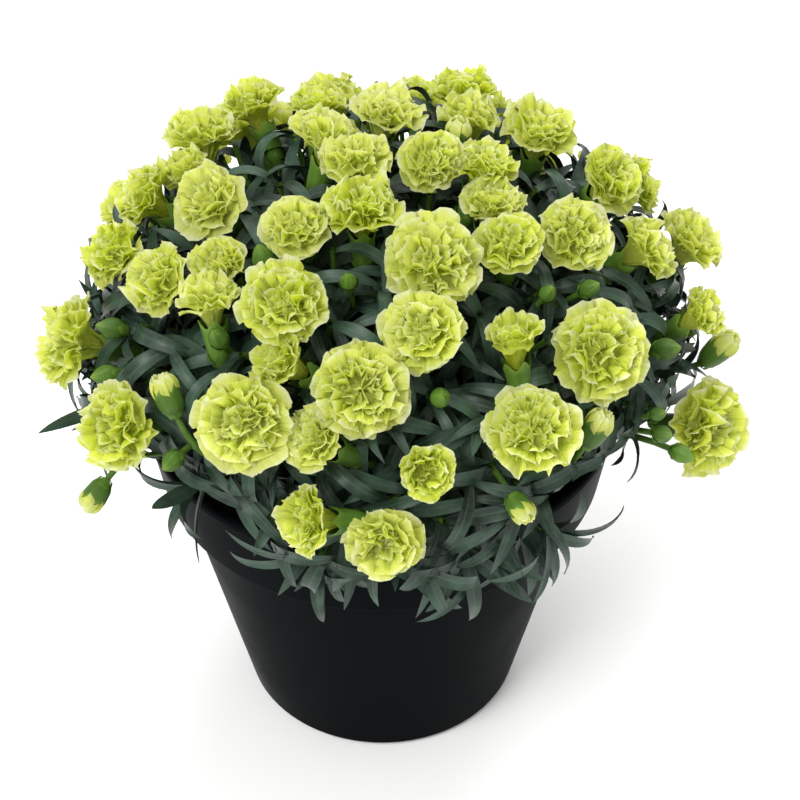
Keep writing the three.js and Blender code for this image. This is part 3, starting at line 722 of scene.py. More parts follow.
def pot_moulded_satin_polypropylene(tree):
    """Black polypropylene, injection moulded with a satin surface.

    It gives the eye a near-black grey with a soft sheen that only shows where the wall turns away, and
    smears of handling that are a little paler and duller.
    """
    spot = add_node(tree, "ShaderNodeTexCoord", output="Object")
    # Smears about 40 mm across, and the fine pits of a satin mould, drawn 1.1 mm wide so that they can show.
    smears = add_node(tree, "ShaderNodeTexNoise", {"Vector": spot, "Scale": 1000 / 40, "Detail": 4.0})
    peel = add_node(tree, "ShaderNodeTexNoise", {"Vector": spot, "Scale": 1000 / 1.1, "Detail": 1.0})
    rough = add_node(tree, "ShaderNodeMapRange",
                     {"Value": smears, "From Min": 0.3, "From Max": 0.7, "To Min": 0.3, "To Max": 0.42})
    tint = add_node(tree, "ShaderNodeMix", {0: smears, A: colour("#07090A"), B: colour("#0D1012")}, **COLOURS)
    bump = add_node(tree, "ShaderNodeBump", {"Height": peel, "Strength": 0.05, "Distance": 0.0003})
    return add_node(tree, "ShaderNodeBsdfPrincipled", {
        "Base Color": tint, "Roughness": rough, "IOR": 1.3, "Specular IOR Level": 0.01, "Normal": bump})


def peat_damp_crumbly(tree):
    """Damp peat with a little bark: crumbly and dull.

    It gives the eye dark brown crumbs of a few millimetres with paler fibres between them.
    """
    spot = add_node(tree, "ShaderNodeTexCoord", output="Object")
    # Crumbs about 2.5 mm across, and fibres about 2 mm long.
    crumbs = add_node(tree, "ShaderNodeTexVoronoi", {"Vector": spot, "Scale": 1000 / 2.5})
    fibres = add_node(tree, "ShaderNodeTexNoise",
                      {"Vector": spot, "Scale": 1000 / 2, "Detail": 5.0, "Distortion": 1.5})
    base = add_node(tree, "ShaderNodeMix", {0: crumbs, A: colour("#18110C"), B: colour("#33241A")}, **COLOURS)
    share = add_node(tree, "ShaderNodeMapRange", {"Value": fibres, "From Min": 0.58, "From Max": 0.75})
    flecked = add_node(tree, "ShaderNodeMix", {0: share, A: base, B: colour("#5E4731")}, **COLOURS)
    bump = add_node(tree, "ShaderNodeBump", {"Height": crumbs, "Strength": 0.8, "Distance": 0.0015})
    return add_node(tree, "ShaderNodeBsdfPrincipled", {
        "Base Color": flecked, "Roughness": 0.92, "Specular IOR Level": 0.2, "Normal": bump})


def floor_matt_painted_board(tree):
    """Matt painted board under the pot: nearly white, with no pattern that draws the eye."""
    spot = add_node(tree, "ShaderNodeTexCoord", output="Object")
    grain = add_node(tree, "ShaderNodeTexNoise", {"Vector": spot, "Scale": 1000 / 300, "Detail": 1.0})
    tint = add_node(tree, "ShaderNodeMix", {0: grain, A: colour("#F8F8F7"), B: colour("#FAFAF9")}, **COLOURS)
    return add_node(tree, "ShaderNodeBsdfPrincipled", {
        "Base Color": tint, "Roughness": 0.9, "Specular IOR Level": 0.1})


PETAL = new_finish(petal_fresh_carnation)
LEAF = new_finish(leaf_waxy_dianthus)
STALK = new_finish(calyx_smooth_green_skin)
POT = new_finish(pot_moulded_satin_polypropylene)
PEAT = new_finish(peat_damp_crumbly)
FLOOR = new_finish(floor_matt_painted_board)

# ---- petals ----

# The spread petals, ring by ring from the outside in: how many against the bloom's own count, how far out
# the margin stands and how high, as shares of the radius and of the crest, how steeply the petal rises at
# first, how much wider it is than its share of the ring, how deep it waves against the radius, how many
# waves it has, how far they lean over each other, and how many steps it has across and along.
Ring = namedtuple("Ring", "count reach height steep cover depth waves lean columns rows")
SPREAD_RINGS = [
    Ring(0.9, 0.98, -0.24, 0.10, 1.45, 0.075, 1.9, 0.10, 22, 7),
    Ring(1.0, 0.87, 0.06, 0.20, 1.40, 0.105, 2.1, 0.18, 20, 7),
    Ring(0.9, 0.74, 0.42, 0.34, 1.35, 0.135, 2.3, 0.26, 19, 6),
    Ring(0.8, 0.60, 0.70, 0.50, 1.35, 0.165, 2.4, 0.34, 18, 6),
]

# How the petals of a ring differ: their places, widths and heights, and their reaches in the outermost ring
# and in the others.
RING_STAGGER = (-0.2, 0.2)
PETAL_WIDTHS = (0.85, 1.15)
PETAL_HEIGHTS = (-0.07, 0.09)
GUARD_REACHES = (0.9, 1.04)
INNER_REACHES = (0.84, 1.12)

# A spread petal's margin: how deep its fine teeth and its lobes are, how much its corners are rounded, how
# many times quicker its frill waves than the petal does, and how deep the frill is against those waves.
TEETH = 0.032
LOBES = 0.03
CORNERS = (0.1, 0.3)
FRILL_WAVES = (2.0, 3.2)
FRILL_DEPTH = 0.6

# The furled petals that stand upright in the heart: how many against the bloom's own count, how far out
# the outermost stands and how wide they are, as shares of the radius, how they loop and curl, and the turn
# from one to the next.
HEART_PETALS = 3.0
HEART_REACH = 0.58
HEART_WIDTHS = (0.18, 0.3)
HEART_FLARES = (0.03, 0.1)
HEART_LOOPS = (0.9, 1.6)
HEART_CURLS = (0.25, 0.45)
HEART_STEPS = (20, 5)
HEART_OFF_CENTRE = 0.1
GOLDEN_TURN = 2.39996

# Blooms that are still opening, by number, and how far they have opened. All others are open.
OPENING_BLOOMS = {4: 0.75, 8: 0.8, 14: 0.75, 33: 0.85, 36: 0.55, 44: 0.45}
OPEN = (0.92, 1.0)


def ripple(draws, waves, u):
    """How a petal waves from side to side, and how far each wave leans over its neighbour."""
    slow, quick = waves * draws.uniform(0.75, 1.25), waves * draws.uniform(1.7, 2.6)
    first, second = draws.uniform(0, TURN, 2)
    wave = np.sin(math.pi * slow * u + first) + 0.4 * np.sin(math.pi * quick * u + second)
    return wave, np.cos(math.pi * slow * u + first + 0.6)


def midline(bloom, reach, height, steep, t):
    """Where a spread petal's middle runs, out and up, and which way it heads: from the claw to the margin."""
    drop = bloom.drop
    foot = np.array([0.6 * NECK_RADIUS, -drop - 1.5])
    knee = np.array([mix(0.9 * NECK_RADIUS, 0.3 * reach, 0.3), mix(-0.45 * drop, 0.5 * height, steep)])
    bend = np.array([mix(0.62, 0.95, steep) * reach,
                     mix(height + 0.02 * bloom.radius, height - 0.25 * drop, steep)])
    rim = np.array([reach, height])
    s, w = t[..., None], 1 - t[..., None]
    line = w**3 * foot + 3 * w * w * s * knee + 3 * w * s * s * bend + s**3 * rim
    slope = 3 * w * w * (knee - foot) + 6 * w * s * (bend - knee) + 3 * s * s * (rim - bend)
    return line, slope / np.linalg.norm(slope, axis=-1, keepdims=True)


def spread_petal(draws, bloom, ring, turn, half, reach, height):
    """A petal in the bloom's own frame: a claw that rises from the calyx, and a blade that fans and waves."""
    u = np.linspace(-1, 1, ring.columns + 1)
    v = np.linspace(0, 1, ring.rows + 1) ** 0.85
    teeth = TEETH * draws.uniform(-1, 0.3, ring.columns + 1)
    lobes = LOBES * np.sin(math.pi * draws.uniform(1.5, 2.8) * u + draws.uniform(0, TURN))
    margin = 1 - draws.uniform(*CORNERS) * np.abs(u) ** 2.6 + lobes + teeth
    t = v[:, None] * (1 + (margin - 1)[None, :] * eased(0.3, 1.0, v)[:, None])
    line, slope = midline(bloom, reach, height, ring.steep, t)
    wave, over = ripple(draws, ring.waves, u)
    frill = np.sin(math.pi * ring.waves * draws.uniform(*FRILL_WAVES) * u + draws.uniform(0, TURN))
    cup = draws.uniform(-0.09, 0.05) * u**2 * t**2 + (0.07 + ring.lean / 3) * draws.uniform(-1, 1) * u * t
    depth = ring.depth * draws.uniform(0.6, 1.4)
    lift = bloom.radius * (depth * (wave * t**1.7 + FRILL_DEPTH * frill * t**3.4) + cup)
    across = np.maximum(line[..., 0] - lift * slope[..., 1], 0.35)
    up = line[..., 1] + lift * slope[..., 0]
    theta = turn - half * u * (0.6 + 0.4 * eased(0.1, 0.65, t)) + ring.lean * half * over * t**1.5
    return np.stack([across * np.cos(theta), across * np.sin(theta), up], -1), u, t


def furled_petal(draws, radius, drop, place, bearing, width, height, flare):
    """An upright petal with a flared margin that wanders in loops when it is seen from above."""
    columns, rows = HEART_STEPS
    u = np.linspace(-1, 1, columns + 1)
    t = (np.linspace(0, 1, rows + 1) ** 0.8)[:, None]
    ahead = np.array([math.cos(bearing), math.sin(bearing)])
    out = np.array([-ahead[1], ahead[0]])
    out = out if out @ place > 0 else -out
    loops = draws.uniform(*HEART_LOOPS)
    first, second = draws.uniform(0, TURN, 2)
    curl = draws.uniform(*HEART_CURLS) * np.sin(math.pi * loops * u + first)
    curl = curl + 0.12 * np.sin(math.pi * loops * 2.7 * u + second) + draws.uniform(-0.1, 0.35) * u**2
    slide = u + 0.14 * np.sin(2 * (math.pi * loops * u + first))
    spread = width * (0.12 + 0.88 * t**1.1)
    foot = 0.3 * place
    plan = foot + (place - foot) * (t**0.8)[..., None]
    plan = plan + ahead * (slide * spread)[..., None] + out * (curl * spread + flare * t**4)[..., None]
    uneven = 0.035 * np.sin(math.pi * 2.3 * loops * u + second) + 0.022 * draws.uniform(-1, 0.3, columns + 1)
    uneven = uneven - 0.09 * np.abs(u) ** 3
    rise = (height + radius * uneven * t**3 + drop) * (1 - (1 - t) ** 1.4)
    return np.concatenate([plan, (rise - drop - 1.0)[..., None]], -1), u, t


def packed_heart(draws, bloom):
    """The crumpled layer of short petals low in the heart, which shows between the furled ones."""
    turns = np.linspace(0, TURN, 29)
    shares = np.linspace(1, 0.04, 8)[:, None]
    out = 0.6 * bloom.radius * shares * (1 + 0.12 * np.sin(5 * turns + draws.uniform(0, 6)))
    folds = np.sin(7 * turns + draws.uniform(0, 6) + 5 * shares) + 0.6 * np.sin(12 * turns - 9 * shares)
    level = bloom.crest * (0.28 - 0.6 * shares**3) + 0.05 * bloom.radius * folds
    folded = turns + 0.1 * np.sin(9 * turns + 8 * shares)
    sheet = np.stack([out * np.cos(folded), out * np.sin(folded), level], -1)
    return sheet, turns, np.broadcast_to(0.85 - 0.35 * shares, out.shape)


def grow_bloom(gathered, bloom):
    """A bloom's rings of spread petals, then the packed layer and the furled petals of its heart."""
    draws = np.random.default_rng(BLOOM_SEED + bloom.number)
    start = seeded_draws(BLOOM_SEED + bloom.number)(0, TURN)
    axes = np.stack([*crosswise(bloom.face), bloom.face])
    opened = OPENING_BLOOMS.get(bloom.number, draws.uniform(*OPEN))
    paleness = draws.uniform(0, 1)
    heart = draws.uniform(-HEART_OFF_CENTRE, HEART_OFF_CENTRE, 2) * bloom.radius

    def place(sheet, u, t, width):
        shift = eased(-bloom.drop, bloom.crest, sheet[..., 2])[..., None] * np.append(heart, 0)
        tone = draws.uniform(0, 1) ** 1.4
        size = (width + 2, bloom.radius + bloom.drop)
        gathered.add((sheet + shift) @ axes + bloom.centre, u, t, tone=tone, side=paleness, size=size)

    for inward, ring in enumerate(SPREAD_RINGS):
        number = round(ring.count * bloom.petals)
        first = start + math.pi / bloom.petals if inward == 0 else draws.uniform(0, TURN)
        for k in range(number):
            turn = first + TURN * (k + draws.uniform(*RING_STAGGER)) / number
            half = math.pi / number * ring.cover * draws.uniform(*PETAL_WIDTHS)
            reach = ring.reach * draws.uniform(*(INNER_REACHES if inward else GUARD_REACHES))
            height = bloom.crest * ring.height
            height += bloom.radius * draws.uniform(*PETAL_HEIGHTS) * (1 + 0.5 * inward)
            # A bloom that is still opening is narrower, and its petals stand higher.
            reach = bloom.radius * (reach * mix(0.8, 1, opened))
            height += bloom.radius * (1 - opened) * (0.9 - 0.2 * inward)
            height = min(height, 1.05 * bloom.crest + bloom.radius * 0.4 * (1 - opened))
            place(*spread_petal(draws, bloom, ring, turn, half, reach, height), 2 * half * reach)
    place(*packed_heart(draws, bloom), bloom.radius)
    number = round(HEART_PETALS * bloom.petals * mix(0.2, 1, opened))
    first = draws.uniform(0, TURN)
    for k in range(number):
        share = math.sqrt((k + 0.12) / number)
        turn = first + k * GOLDEN_TURN + draws.uniform(-0.3, 0.3)
        out = bloom.radius * HEART_REACH * share * draws.uniform(0.88, 1.08)
        spot = out * np.array([math.cos(turn), math.sin(turn)])
        bearing = turn + math.pi / 2 + draws.uniform(-0.95, 0.95)
        width = bloom.radius * draws.uniform(*HEART_WIDTHS)
        height = bloom.crest * (0.98 - 0.22 * share**2) * draws.uniform(0.82, 1.08)
        flare = bloom.radius * draws.uniform(*HEART_FLARES)
        place(*furled_petal(draws, bloom.radius, bloom.drop, spot, bearing, width, height, flare), 3 * width)


def grow_blooms():
    """One piece for each node of blooms, which the node names by number."""
    for node in sorted(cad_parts):
        if node.startswith("bloom_"):
            gathered = Gathered()
            for number in re.findall(r"\d+", node):
                grow_bloom(gathered, ALL_BLOOMS[int(number) - 1])
            dress(gathered, node.replace("bloom", "petals"), [PETAL], "petals", node)


# ---- stems, calyces and buds ----

STALK_TURNS = even_turns(8)
STALK_RINGS = 14
STALK_FOOT = 0.02  # the lowest ring's share of the way up

# A stalk's joint: how far its swelling reaches up and down and how soon it fades, as shares of the stalk's
# length, and how much thicker it is.
JOINT_HALF = 0.012
JOINT_TAPER = 0.011
JOINT_SWELL = 0.38


def grow_stem(gathered, stem, draws):
    """A round stalk with a swollen joint at each pair of leaves."""
    shares = set(np.linspace(STALK_FOOT, stem.top, STALK_RINGS))
    for joint in stem.joints:
        shares |= {joint - JOINT_HALF, joint, joint + JOINT_HALF}
    shares = sorted(s for s in shares if s <= stem.top)
    rings = []
    for share in shares:
        swell = sum(math.exp(-(((share - joint) / JOINT_TAPER) ** 2)) for joint in stem.joints)
        radius = mix(STEM_RADIUS, stem.tip_radius, share) * (1 + JOINT_SWELL * min(1, swell))
        side, rise = crosswise(stem.heading(share))
        ring = np.outer(np.cos(STALK_TURNS), side) + np.outer(np.sin(STALK_TURNS), rise)
        rings.append(stem.at(share) + radius * ring)
    gathered.add(np.array(rings), along=np.array(shares) * 0.6, tone=draws.uniform(0, 0.5), wrap=True,
                 finish=1)


def laid_round(base, face, turns, rows):
    """Rings about a stalk's end from rows of heights and radii, each with a value for every turn."""
    side, rise = crosswise(face)
    return np.array([
        base + np.outer(height, face) + np.outer(radius * np.cos(turns), side)
        + np.outer(radius * np.sin(turns), rise)
        for height, radius in rows
    ])


def five_points(turns, draws):
    """1 at the tip of each of a calyx's five points, and 0 between them."""
    return 1 - np.abs(((turns * 5 / TURN + draws.uniform(0, 1)) % 1) - 0.5) * 2


CALYX_COLUMNS = 30
CALYX_TURNS = even_turns(CALYX_COLUMNS)

# A calyx's outline from its foot: height against its length, and radius in millimetres.
CALYX_OUTLINE = [(0.0, 1.5), (0.03, 2.3), (0.08, 3.2), (0.16, 3.9), (0.3, 4.35), (0.5, 4.7), (0.7, 5.0),
                 (0.86, 5.25)]
CALYX_POINT_LENGTH = 4.6
SCALES = 4
SCALE_REACH = 0.42  # how far up a calyx its scales reach


def grow_calyx(gathered, bloom, base, draws):
    """The green tube under a bloom, ending in five points, with two pairs of small scales at its foot."""
    point = five_points(CALYX_TURNS, draws)
    even = np.ones(CALYX_COLUMNS)
    rows = [(height * CALYX_LENGTH * even, radius * even) for height, radius in CALYX_OUTLINE]
    for share in (0.35, 0.7, 1.0):
        tips = share * CALYX_POINT_LENGTH * point ** (0.7 + 0.5 * share)
        rows.append((CALYX_LENGTH * mix(0.86, 0.96, share) + tips, 5.3 + share * (0.2 + 0.9 * point)))
    gathered.add(laid_round(base, bloom.face, CALYX_TURNS, rows), tone=draws.uniform(0.2, 1), wrap=True,
                 finish=1, size=(32, 20))
    grow_scales(gathered, base, bloom.face, 3.1, SCALE_REACH * CALYX_LENGTH, draws)


def grow_scales(gathered, base, face, girth, length, draws):
    """Small pointed scales that clasp the foot of a calyx."""
    side, rise = crosswise(face)
    first = draws.uniform(0, TURN)
    u = np.linspace(-1, 1, 5)
    v = np.linspace(0, 1, 5)
    for k in range(SCALES):
        width = 0.02 + 0.75 * (1 - v**2.2)[:, None]
        theta = first + k * TURN / SCALES - u * width
        out = (girth + 1.75 * eased(0, 0.6, v) + 0.3 * v**3)[:, None] + 0.25 * (k % 2)
        height = (v * length * (1.1 if k % 2 else 0.9))[:, None] + 0 * theta - 0.6
        grid = base + height[..., None] * face
        grid = grid + (out * np.cos(theta))[..., None] * side + (out * np.sin(theta))[..., None] * rise
        gathered.add(grid, u, v, tone=draws.uniform(0.3, 1), finish=1)


# Outlines of a bud from its foot to its tip: height against its length, and radius against its girth.
CLOSED_BUD = [(0.0, 0.28), (0.04, 0.5), (0.1, 0.7), (0.2, 0.86), (0.32, 0.96), (0.44, 1.0), (0.56, 0.94),
              (0.67, 0.81), (0.77, 0.62), (0.86, 0.41), (0.94, 0.21), (1.0, 0.05)]
OPENING_CUP = [(0.0, 0.3), (0.04, 0.55), (0.12, 0.78), (0.25, 0.9), (0.4, 0.97), (0.5, 1.0)]
FURLED_PETALS = 7
OUTER_FURLED = 5  # of which so many stand in the outer ring


def grow_bud(gathered, stem, scale, draws, opening):
    """A closed bud of five sepals, or one whose furled petals stand out of the calyx."""
    length = BUD_LENGTH * scale
    girth = BUD_RADIUS * min(scale, WIDEST_BUD)
    point = five_points(CALYX_TURNS, draws)
    even = np.ones(CALYX_COLUMNS)
    outline = OPENING_CUP if opening else CLOSED_BUD
    rows = []
    for height, radius in outline:
        crease = 1 - 0.24 * eased(0.3, 0.8, height) * (1 - point) ** 1.5
        rows.append((height * length * even, girth * radius * (even if opening else crease)))
    if opening:
        for share in (0.4, 0.75, 1.0):
            height = length * (mix(0.5, 0.56, share) + share * 0.2 * point)
            rows.append((height, girth * (1.01 - 0.05 * share * point)))
    gathered.add(laid_round(stem.end, stem.face, CALYX_TURNS, rows), tone=draws.uniform(0, 0.8), wrap=True,
                 finish=1)
    if opening:
        grow_furled_petals(gathered, stem, length, girth, draws)
    grow_scales(gathered, stem.end, stem.face, 0.52 * girth, SCALE_REACH * length, draws)


def grow_furled_petals(gathered, stem, length, girth, draws):
    """Petals wrapped about each other in the mouth of an opening bud, the inner ones a little taller."""
    axes = np.stack([*crosswise(stem.face), stem.face])
    mouth = stem.end + stem.face * 0.34 * length
    first = draws.uniform(0, TURN)
    u = np.linspace(-1, 1, 13)
    t = np.linspace(0, 1, 8)[:, None]
    for k in range(FURLED_PETALS):
        inner = k >= OUTER_FURLED
        turn = first + TURN * k / (OUTER_FURLED / 2 if inner else OUTER_FURLED)
        waves = np.sin(3 * math.pi * u * draws.uniform(0.8, 1.3) + draws.uniform(0, TURN))
        bulge = 0.62 + 0.42 * np.sin(math.pi * (0.12 + 0.6 * t)) - 0.34 * t**4
        out = girth * (bulge * (0.62 if inner else 0.95) + 0.13 * u * (0.4 + t) + 0.07 * waves * t**3)
        height = length * t * (0.64 if inner else 0.58) * (1 - 0.1 * np.abs(u) ** 2.5 + 0.02 * waves)
        theta = turn + u * draws.uniform(0.85, 1.05) * (1.2 if inner else 0.9)
        sheet = np.stack([out * np.cos(theta), out * np.sin(theta), height], -1)
        gathered.add(sheet @ axes + mouth, u, 0.35 + 0.65 * t[:, 0], tone=draws.uniform(0, 1), side=0.8,
                     finish=2)


# ---- leaves ----

CHANNEL_EDGE = 0.36  # where the channel's flat middle ends, as a share of the blade's half width


def midrib(root, heading, away, slant, bend, length):
    """Points and headings along a leaf that leaves its stem at a slant, bends further away and sags."""
    points, headings = [root], []
    for i in range(LEAF_STEPS):
        share = (i + 0.5) / LEAF_STEPS
        turn = math.radians(slant + bend * share**1.3)
        ahead = heading * math.cos(turn) + away * math.sin(turn)
        ahead[2] -= LEAF_SAG * share
        ahead = unit(ahead)
        headings.append(ahead)
        points.append(points[-1] + ahead * (length / LEAF_STEPS))
    headings.append(headings[-1])
    return points, headings


def leaf_taper(share):
    """The width of the room that is kept for a leaf, which narrows towards its tip."""
    return min(1, 0.3 + 2.2 * share) * (1 - share**2.4)


def blade_taper(share):
    """The blade's own outline, a little fuller towards the tip than the room that is kept for it."""
    return min(1, 0.5 + 1.8 * share) * (1 - share**4)


class Leaf:
    """A leaf's midrib, its size, and the spots that it takes up in the crowd beyond its foot."""

    def __init__(self, root, heading, away, slant, bend, length, width):
        self.points, self.headings = midrib(root, heading, away, slant, bend, length)
        self.spread = np.cross(heading, away)
        self.length, self.width = length, width
        self.spots = [
            (self.points[i], 0.5 * width * leaf_taper(i / LEAF_STEPS) + 0.3) for i in range(3, LEAF_STEPS + 1)
        ]

    def grow(self, gathered, draws):
        """A channelled blade with a keel beneath, a little twisted along its length."""
        twist = draws.uniform(-0.6, 0.6)
        rows = []
        for i in range(LEAF_STEPS + 1):
            share = i / LEAF_STEPS
            end = i in (0, LEAF_STEPS)
            ahead = self.headings[i] if end else unit(self.headings[i - 1] + self.headings[i])
            wide = unit(self.spread - self.spread.dot(ahead) * ahead)
            up = np.cross(ahead, wide)
            turn = twist * share**2
            wide, up = (wide * math.cos(turn) + up * math.sin(turn),
                        up * math.cos(turn) - wide * math.sin(turn))
            half = max(0.06, 0.5 * self.width * blade_taper(share))
            deep = 0.34 * half * (1 - 0.5 * share)
            keel = 0.25 + (LEAF_KEEL - 0.25) * (1 - share) ** 0.7
            middle = self.points[i] + up * (LEAF_CHANNEL * half - deep)
            rows.append([
                middle + wide * half + up * deep,
                middle + wide * CHANNEL_EDGE * half + up * 0.12 * deep,
                middle - wide * CHANNEL_EDGE * half + up * 0.12 * deep,
                middle - wide * half + up * deep,
                middle - up * min(keel, 0.35 + half),
            ])
        # The upper face has the first three strips of the blade, and the underside the last two.
        gathered.add(np.array(rows), [-1, -CHANNEL_EDGE, CHANNEL_EDGE, 1, 0, -1], tone=draws.uniform(0, 1),
                     side=[0, 0, 0, 1, 1], wrap=True, size=(2.2 * self.width, self.length))


def grow_leaves(stem, shares, scale, crowd, seed_step=0, wide=1.0, slants=LEAF_SLANTS, bends=LEAF_BENDS,
                fits=None, **gaps):
    """Opposite pairs of leaves up a stem, each pair turned a quarter from the one below."""
    leaves = []
    draws = seeded_draws(stem.seed + seed_step)
    quarter = draws(0, math.pi)
    for k, share in enumerate(shares):
        middle, heading = stem.at(share), stem.heading(share)
        side, rise = crosswise(heading)
        for half in (0, math.pi):
            for attempt in range(LEAF_TRIES):
                turn = quarter + k * math.pi / 2 + half + draws(-LEAF_SWAY, LEAF_SWAY) * (1 + attempt)
                away = side * math.cos(turn) + rise * math.sin(turn)
                slant = draws(*slants)
                bend = draws(*bends)
                length = LEAF_LENGTH * scale * draws(*LEAF_LENGTHS)
                width = LEAF_WIDTH * wide * draws(*LEAF_WIDTHS)
                leaf = Leaf(middle + 0.5 * away, heading, away, slant, bend, length, width)
                if (fits is None or fits(leaf)) and crowd.is_clear(leaf.spots, stem, **gaps):
                    crowd.occupy(leaf.spots, stem, -1)
                    leaves.append((stem.cutting, leaf))
                    if share not in stem.joints:
                        stem.joints.append(share)
                    break
    return leaves


# ---- everything green ----

CROWNS = crown_places()
ALL_BLOOMS = bloom_list()


def bloom_stem(bloom):
    """A bloom's stem, and the spots that the stem and the calyx take up."""
    base = bloom.centre - bloom.face * (bloom.drop + GAP + CALYX_LENGTH)
    stem = Stem(cutting_for(bloom.bearing, bloom.tilt), base, bloom.face, STEM_SEED + bloom.number)
    calyx = [(base + bloom.face * share * CALYX_LENGTH, CALYX_RADIUS) for share in (0.35, 0.75)]
    return stem, stem.spots() + calyx


def bud_stem(row, i):
    """A bud's stem, and the spots that the stem and the bud take up."""
    bearing, tilt, scale, face_bearing, face_tilt = row
    face = direction(face_bearing, face_tilt)
    centre = dome_point(bearing, tilt, 1 if tilt > LOW_BUD_TILT else BUD_REACH)
    stem = Stem(cutting_for(bearing, tilt), centre - face * BUD_LENGTH * scale / 2, face, BUD_SEED + i)
    stem.tip_radius = SHOOT_TIP_RADIUS
    return stem, stem.spots() + [(centre, BUD_RADIUS * min(scale, WIDEST_BUD))]


def rim_shoot(i):
    """One of the shoots that lean out over the lip all round, and the spots that it takes up."""
    draws = seeded_draws(RIM_SEED + i)
    bearing = 360 * (i + 0.5) / RIM_SHOOTS - 180 + draws(-5, 5)
    face = direction(bearing + draws(-25, 25), draws(88, 108))
    out = RIM_SHOOT_RADIUS + draws(-6, 6)
    end = direction(bearing, 90) * out
    end[2] = RIM_SHOOT_Z + SIDE_SHOOT_RAISE * side_share(end) + draws(-2, 5)
    stem = Stem(cutting_for(bearing, 90), end, face, RIM_SEED + 100 + i)
    stem.tip_radius = SHOOT_TIP_RADIUS
    return stem, stem.spots()


# Young shoots that no solid stands for: they fill the dome between the blooms and hang over the lip.
FILLING_SHOOTS = 190
FILLING_REACH = (0.82, 0.92)
FILLING_SPREAD = 1.12  # 1 would end them level with the dome's centre, and more takes them further down
FILLING_CLEARANCE = 2.5
FILLING_TIP_RADIUS = 1.0
FILLING_SEED = 1200
GOLDEN_DEGREES = 137.508
HANGING_SHOOTS = 30
HANGING_RADII = (104, 118)
HANGING_HEIGHTS = (173, 184)
HANGING_TIP_RADIUS = 1.1
HANGING_SEED = 1500
SHOOT_SEED_STEP = 500  # from the seed of a young shoot's place to that of its stem
SPREAD_LIMIT = 138
DOME_LIMIT = 0.95
SIDE_DROP = 24  # how far below the solids' skirt the leaves may hang at the sides
BARE_LIPS = ((-55, -22), (34, 74))  # the bearings between which the lip shows
BARE_LIP_RADIUS = 92
BARE_LIP_Z = 182


def by_bare_lip(spot):
    bearing = math.degrees(math.atan2(spot[0], -spot[1]))
    return any(low < bearing < high for low, high in BARE_LIPS)


def inside_dome(leaf):
    """True where a leaf stays under the blooms' surface and doesn't spread too far at the sides."""
    for spot, _ in leaf.spots:
        out = math.hypot(spot[0], spot[1])
        if out > SPREAD_LIMIT:
            return False
        rise = (spot[2] - DOME_CENTRE_Z) / DOME_RISE
        if rise > 0 and math.hypot(out / DOME_RADIUS, rise) > DOME_LIMIT:
            return False
    return True


def off_bare_lip(leaf):
    """True where a leaf stays inside the dome and clear of the lip that shows."""
    for spot, _ in leaf.spots:
        out = math.hypot(spot[0], spot[1])
        if out > BARE_LIP_RADIUS and spot[2] < BARE_LIP_Z + out - LIP_RADIUS and by_bare_lip(spot):
            return False
    return inside_dome(leaf)


def filling_shoots(crowd):
    """Shoots spread evenly over the dome, wherever no bloom stands."""
    stems = []
    for i in range(FILLING_SHOOTS):
        draws = seeded_draws(FILLING_SEED + i)
        tilt = math.degrees(math.acos(1 - (i + 0.5) / FILLING_SHOOTS * FILLING_SPREAD))
        bearing = (i * GOLDEN_DEGREES) % 360 - 180 + draws(-4, 4)
        end = dome_point(bearing, tilt, draws(*FILLING_REACH))
        if not crowd.clear_of_blooms(end, FILLING_CLEARANCE):
            continue
        face = direction(bearing + draws(-25, 25), max(0, tilt - 8 + draws(-14, 14)))
        stem = Stem(cutting_for(bearing, tilt), end, face, FILLING_SEED + SHOOT_SEED_STEP + i)
        stem.tip_radius = FILLING_TIP_RADIUS
        stems.append(stem)
    return stems


def hanging_shoots():
    """More shoots that lean out over the lip, except where it shows."""
    stems = []
    for i in range(HANGING_SHOOTS):
        draws = seeded_draws(HANGING_SEED + i)
        bearing = 360 * i / HANGING_SHOOTS - 180 + draws(-5, 5)
        face = direction(bearing + draws(-35, 35), draws(84, 104))
        end = direction(bearing, 90) * draws(*HANGING_RADII)
        end[2] = draws(*HANGING_HEIGHTS) + 0.6 * SIDE_SHOOT_RAISE * side_share(end)
        if by_bare_lip(end):
            continue
        stem = Stem(cutting_for(bearing, 90), end, face, HANGING_SEED + SHOOT_SEED_STEP + i)
        stem.tip_radius = HANGING_TIP_RADIUS
        stems.append(stem)
    return stems


def solid_leaves(crowd, flowering, hanging):
    """The leaves that the solids have too. They come first, so each finds the same room as in the solids."""
    leaves = []
    for stem in hanging:
        leaves += grow_leaves(stem, RIM_LEAF_SHARES, 1, crowd)
    for stem in flowering:
        leaves += grow_leaves(stem, FLOWERING_LEAF_SHARES, UPPER_LEAF_SCALE, crowd)
    return leaves


# The further leaves: how far up their shoots they sit, and their size. The fringe hangs from the rim shoots'
# tips, and the young leaves still stand upright at a young shoot's tip.
HANGING_LEAVES = (0.8, 0.97), 1.05
FILLING_LEAVES = (0.97, 0.86, 0.74, 0.62), 0.95
FLOWERING_LEAVES = (0.78, 0.64), 0.95
BUDDING_LEAVES = (0.86, 0.7), 0.85
RIM_LEAVES = (0.86, 0.6), 1.0
FRINGE_LEAVES = (0.99, 0.93), 0.85
YOUNG_LEAVES = (0.99,), 0.55

# How wide they are, how they leave their shoots and how far they curl, in degrees.
FILLER_WIDTH = 0.98
YOUNG_WIDTH = 0.85
FRINGE_SLANTS = (10, 40)
YOUNG_SLANTS = (6, 26)
HANGING_BENDS = (30, 150)
FILLING_BENDS = (40, 215)
YOUNG_BENDS = (5, 45)

# How close they may lie to other leaves, where 1 would only let them touch.
FILLER_GAPS = {"same_gap": 0.34, "other_gap": 0.34}
FRINGE_GAPS = {"same_gap": 0.1, "other_gap": 0.1}

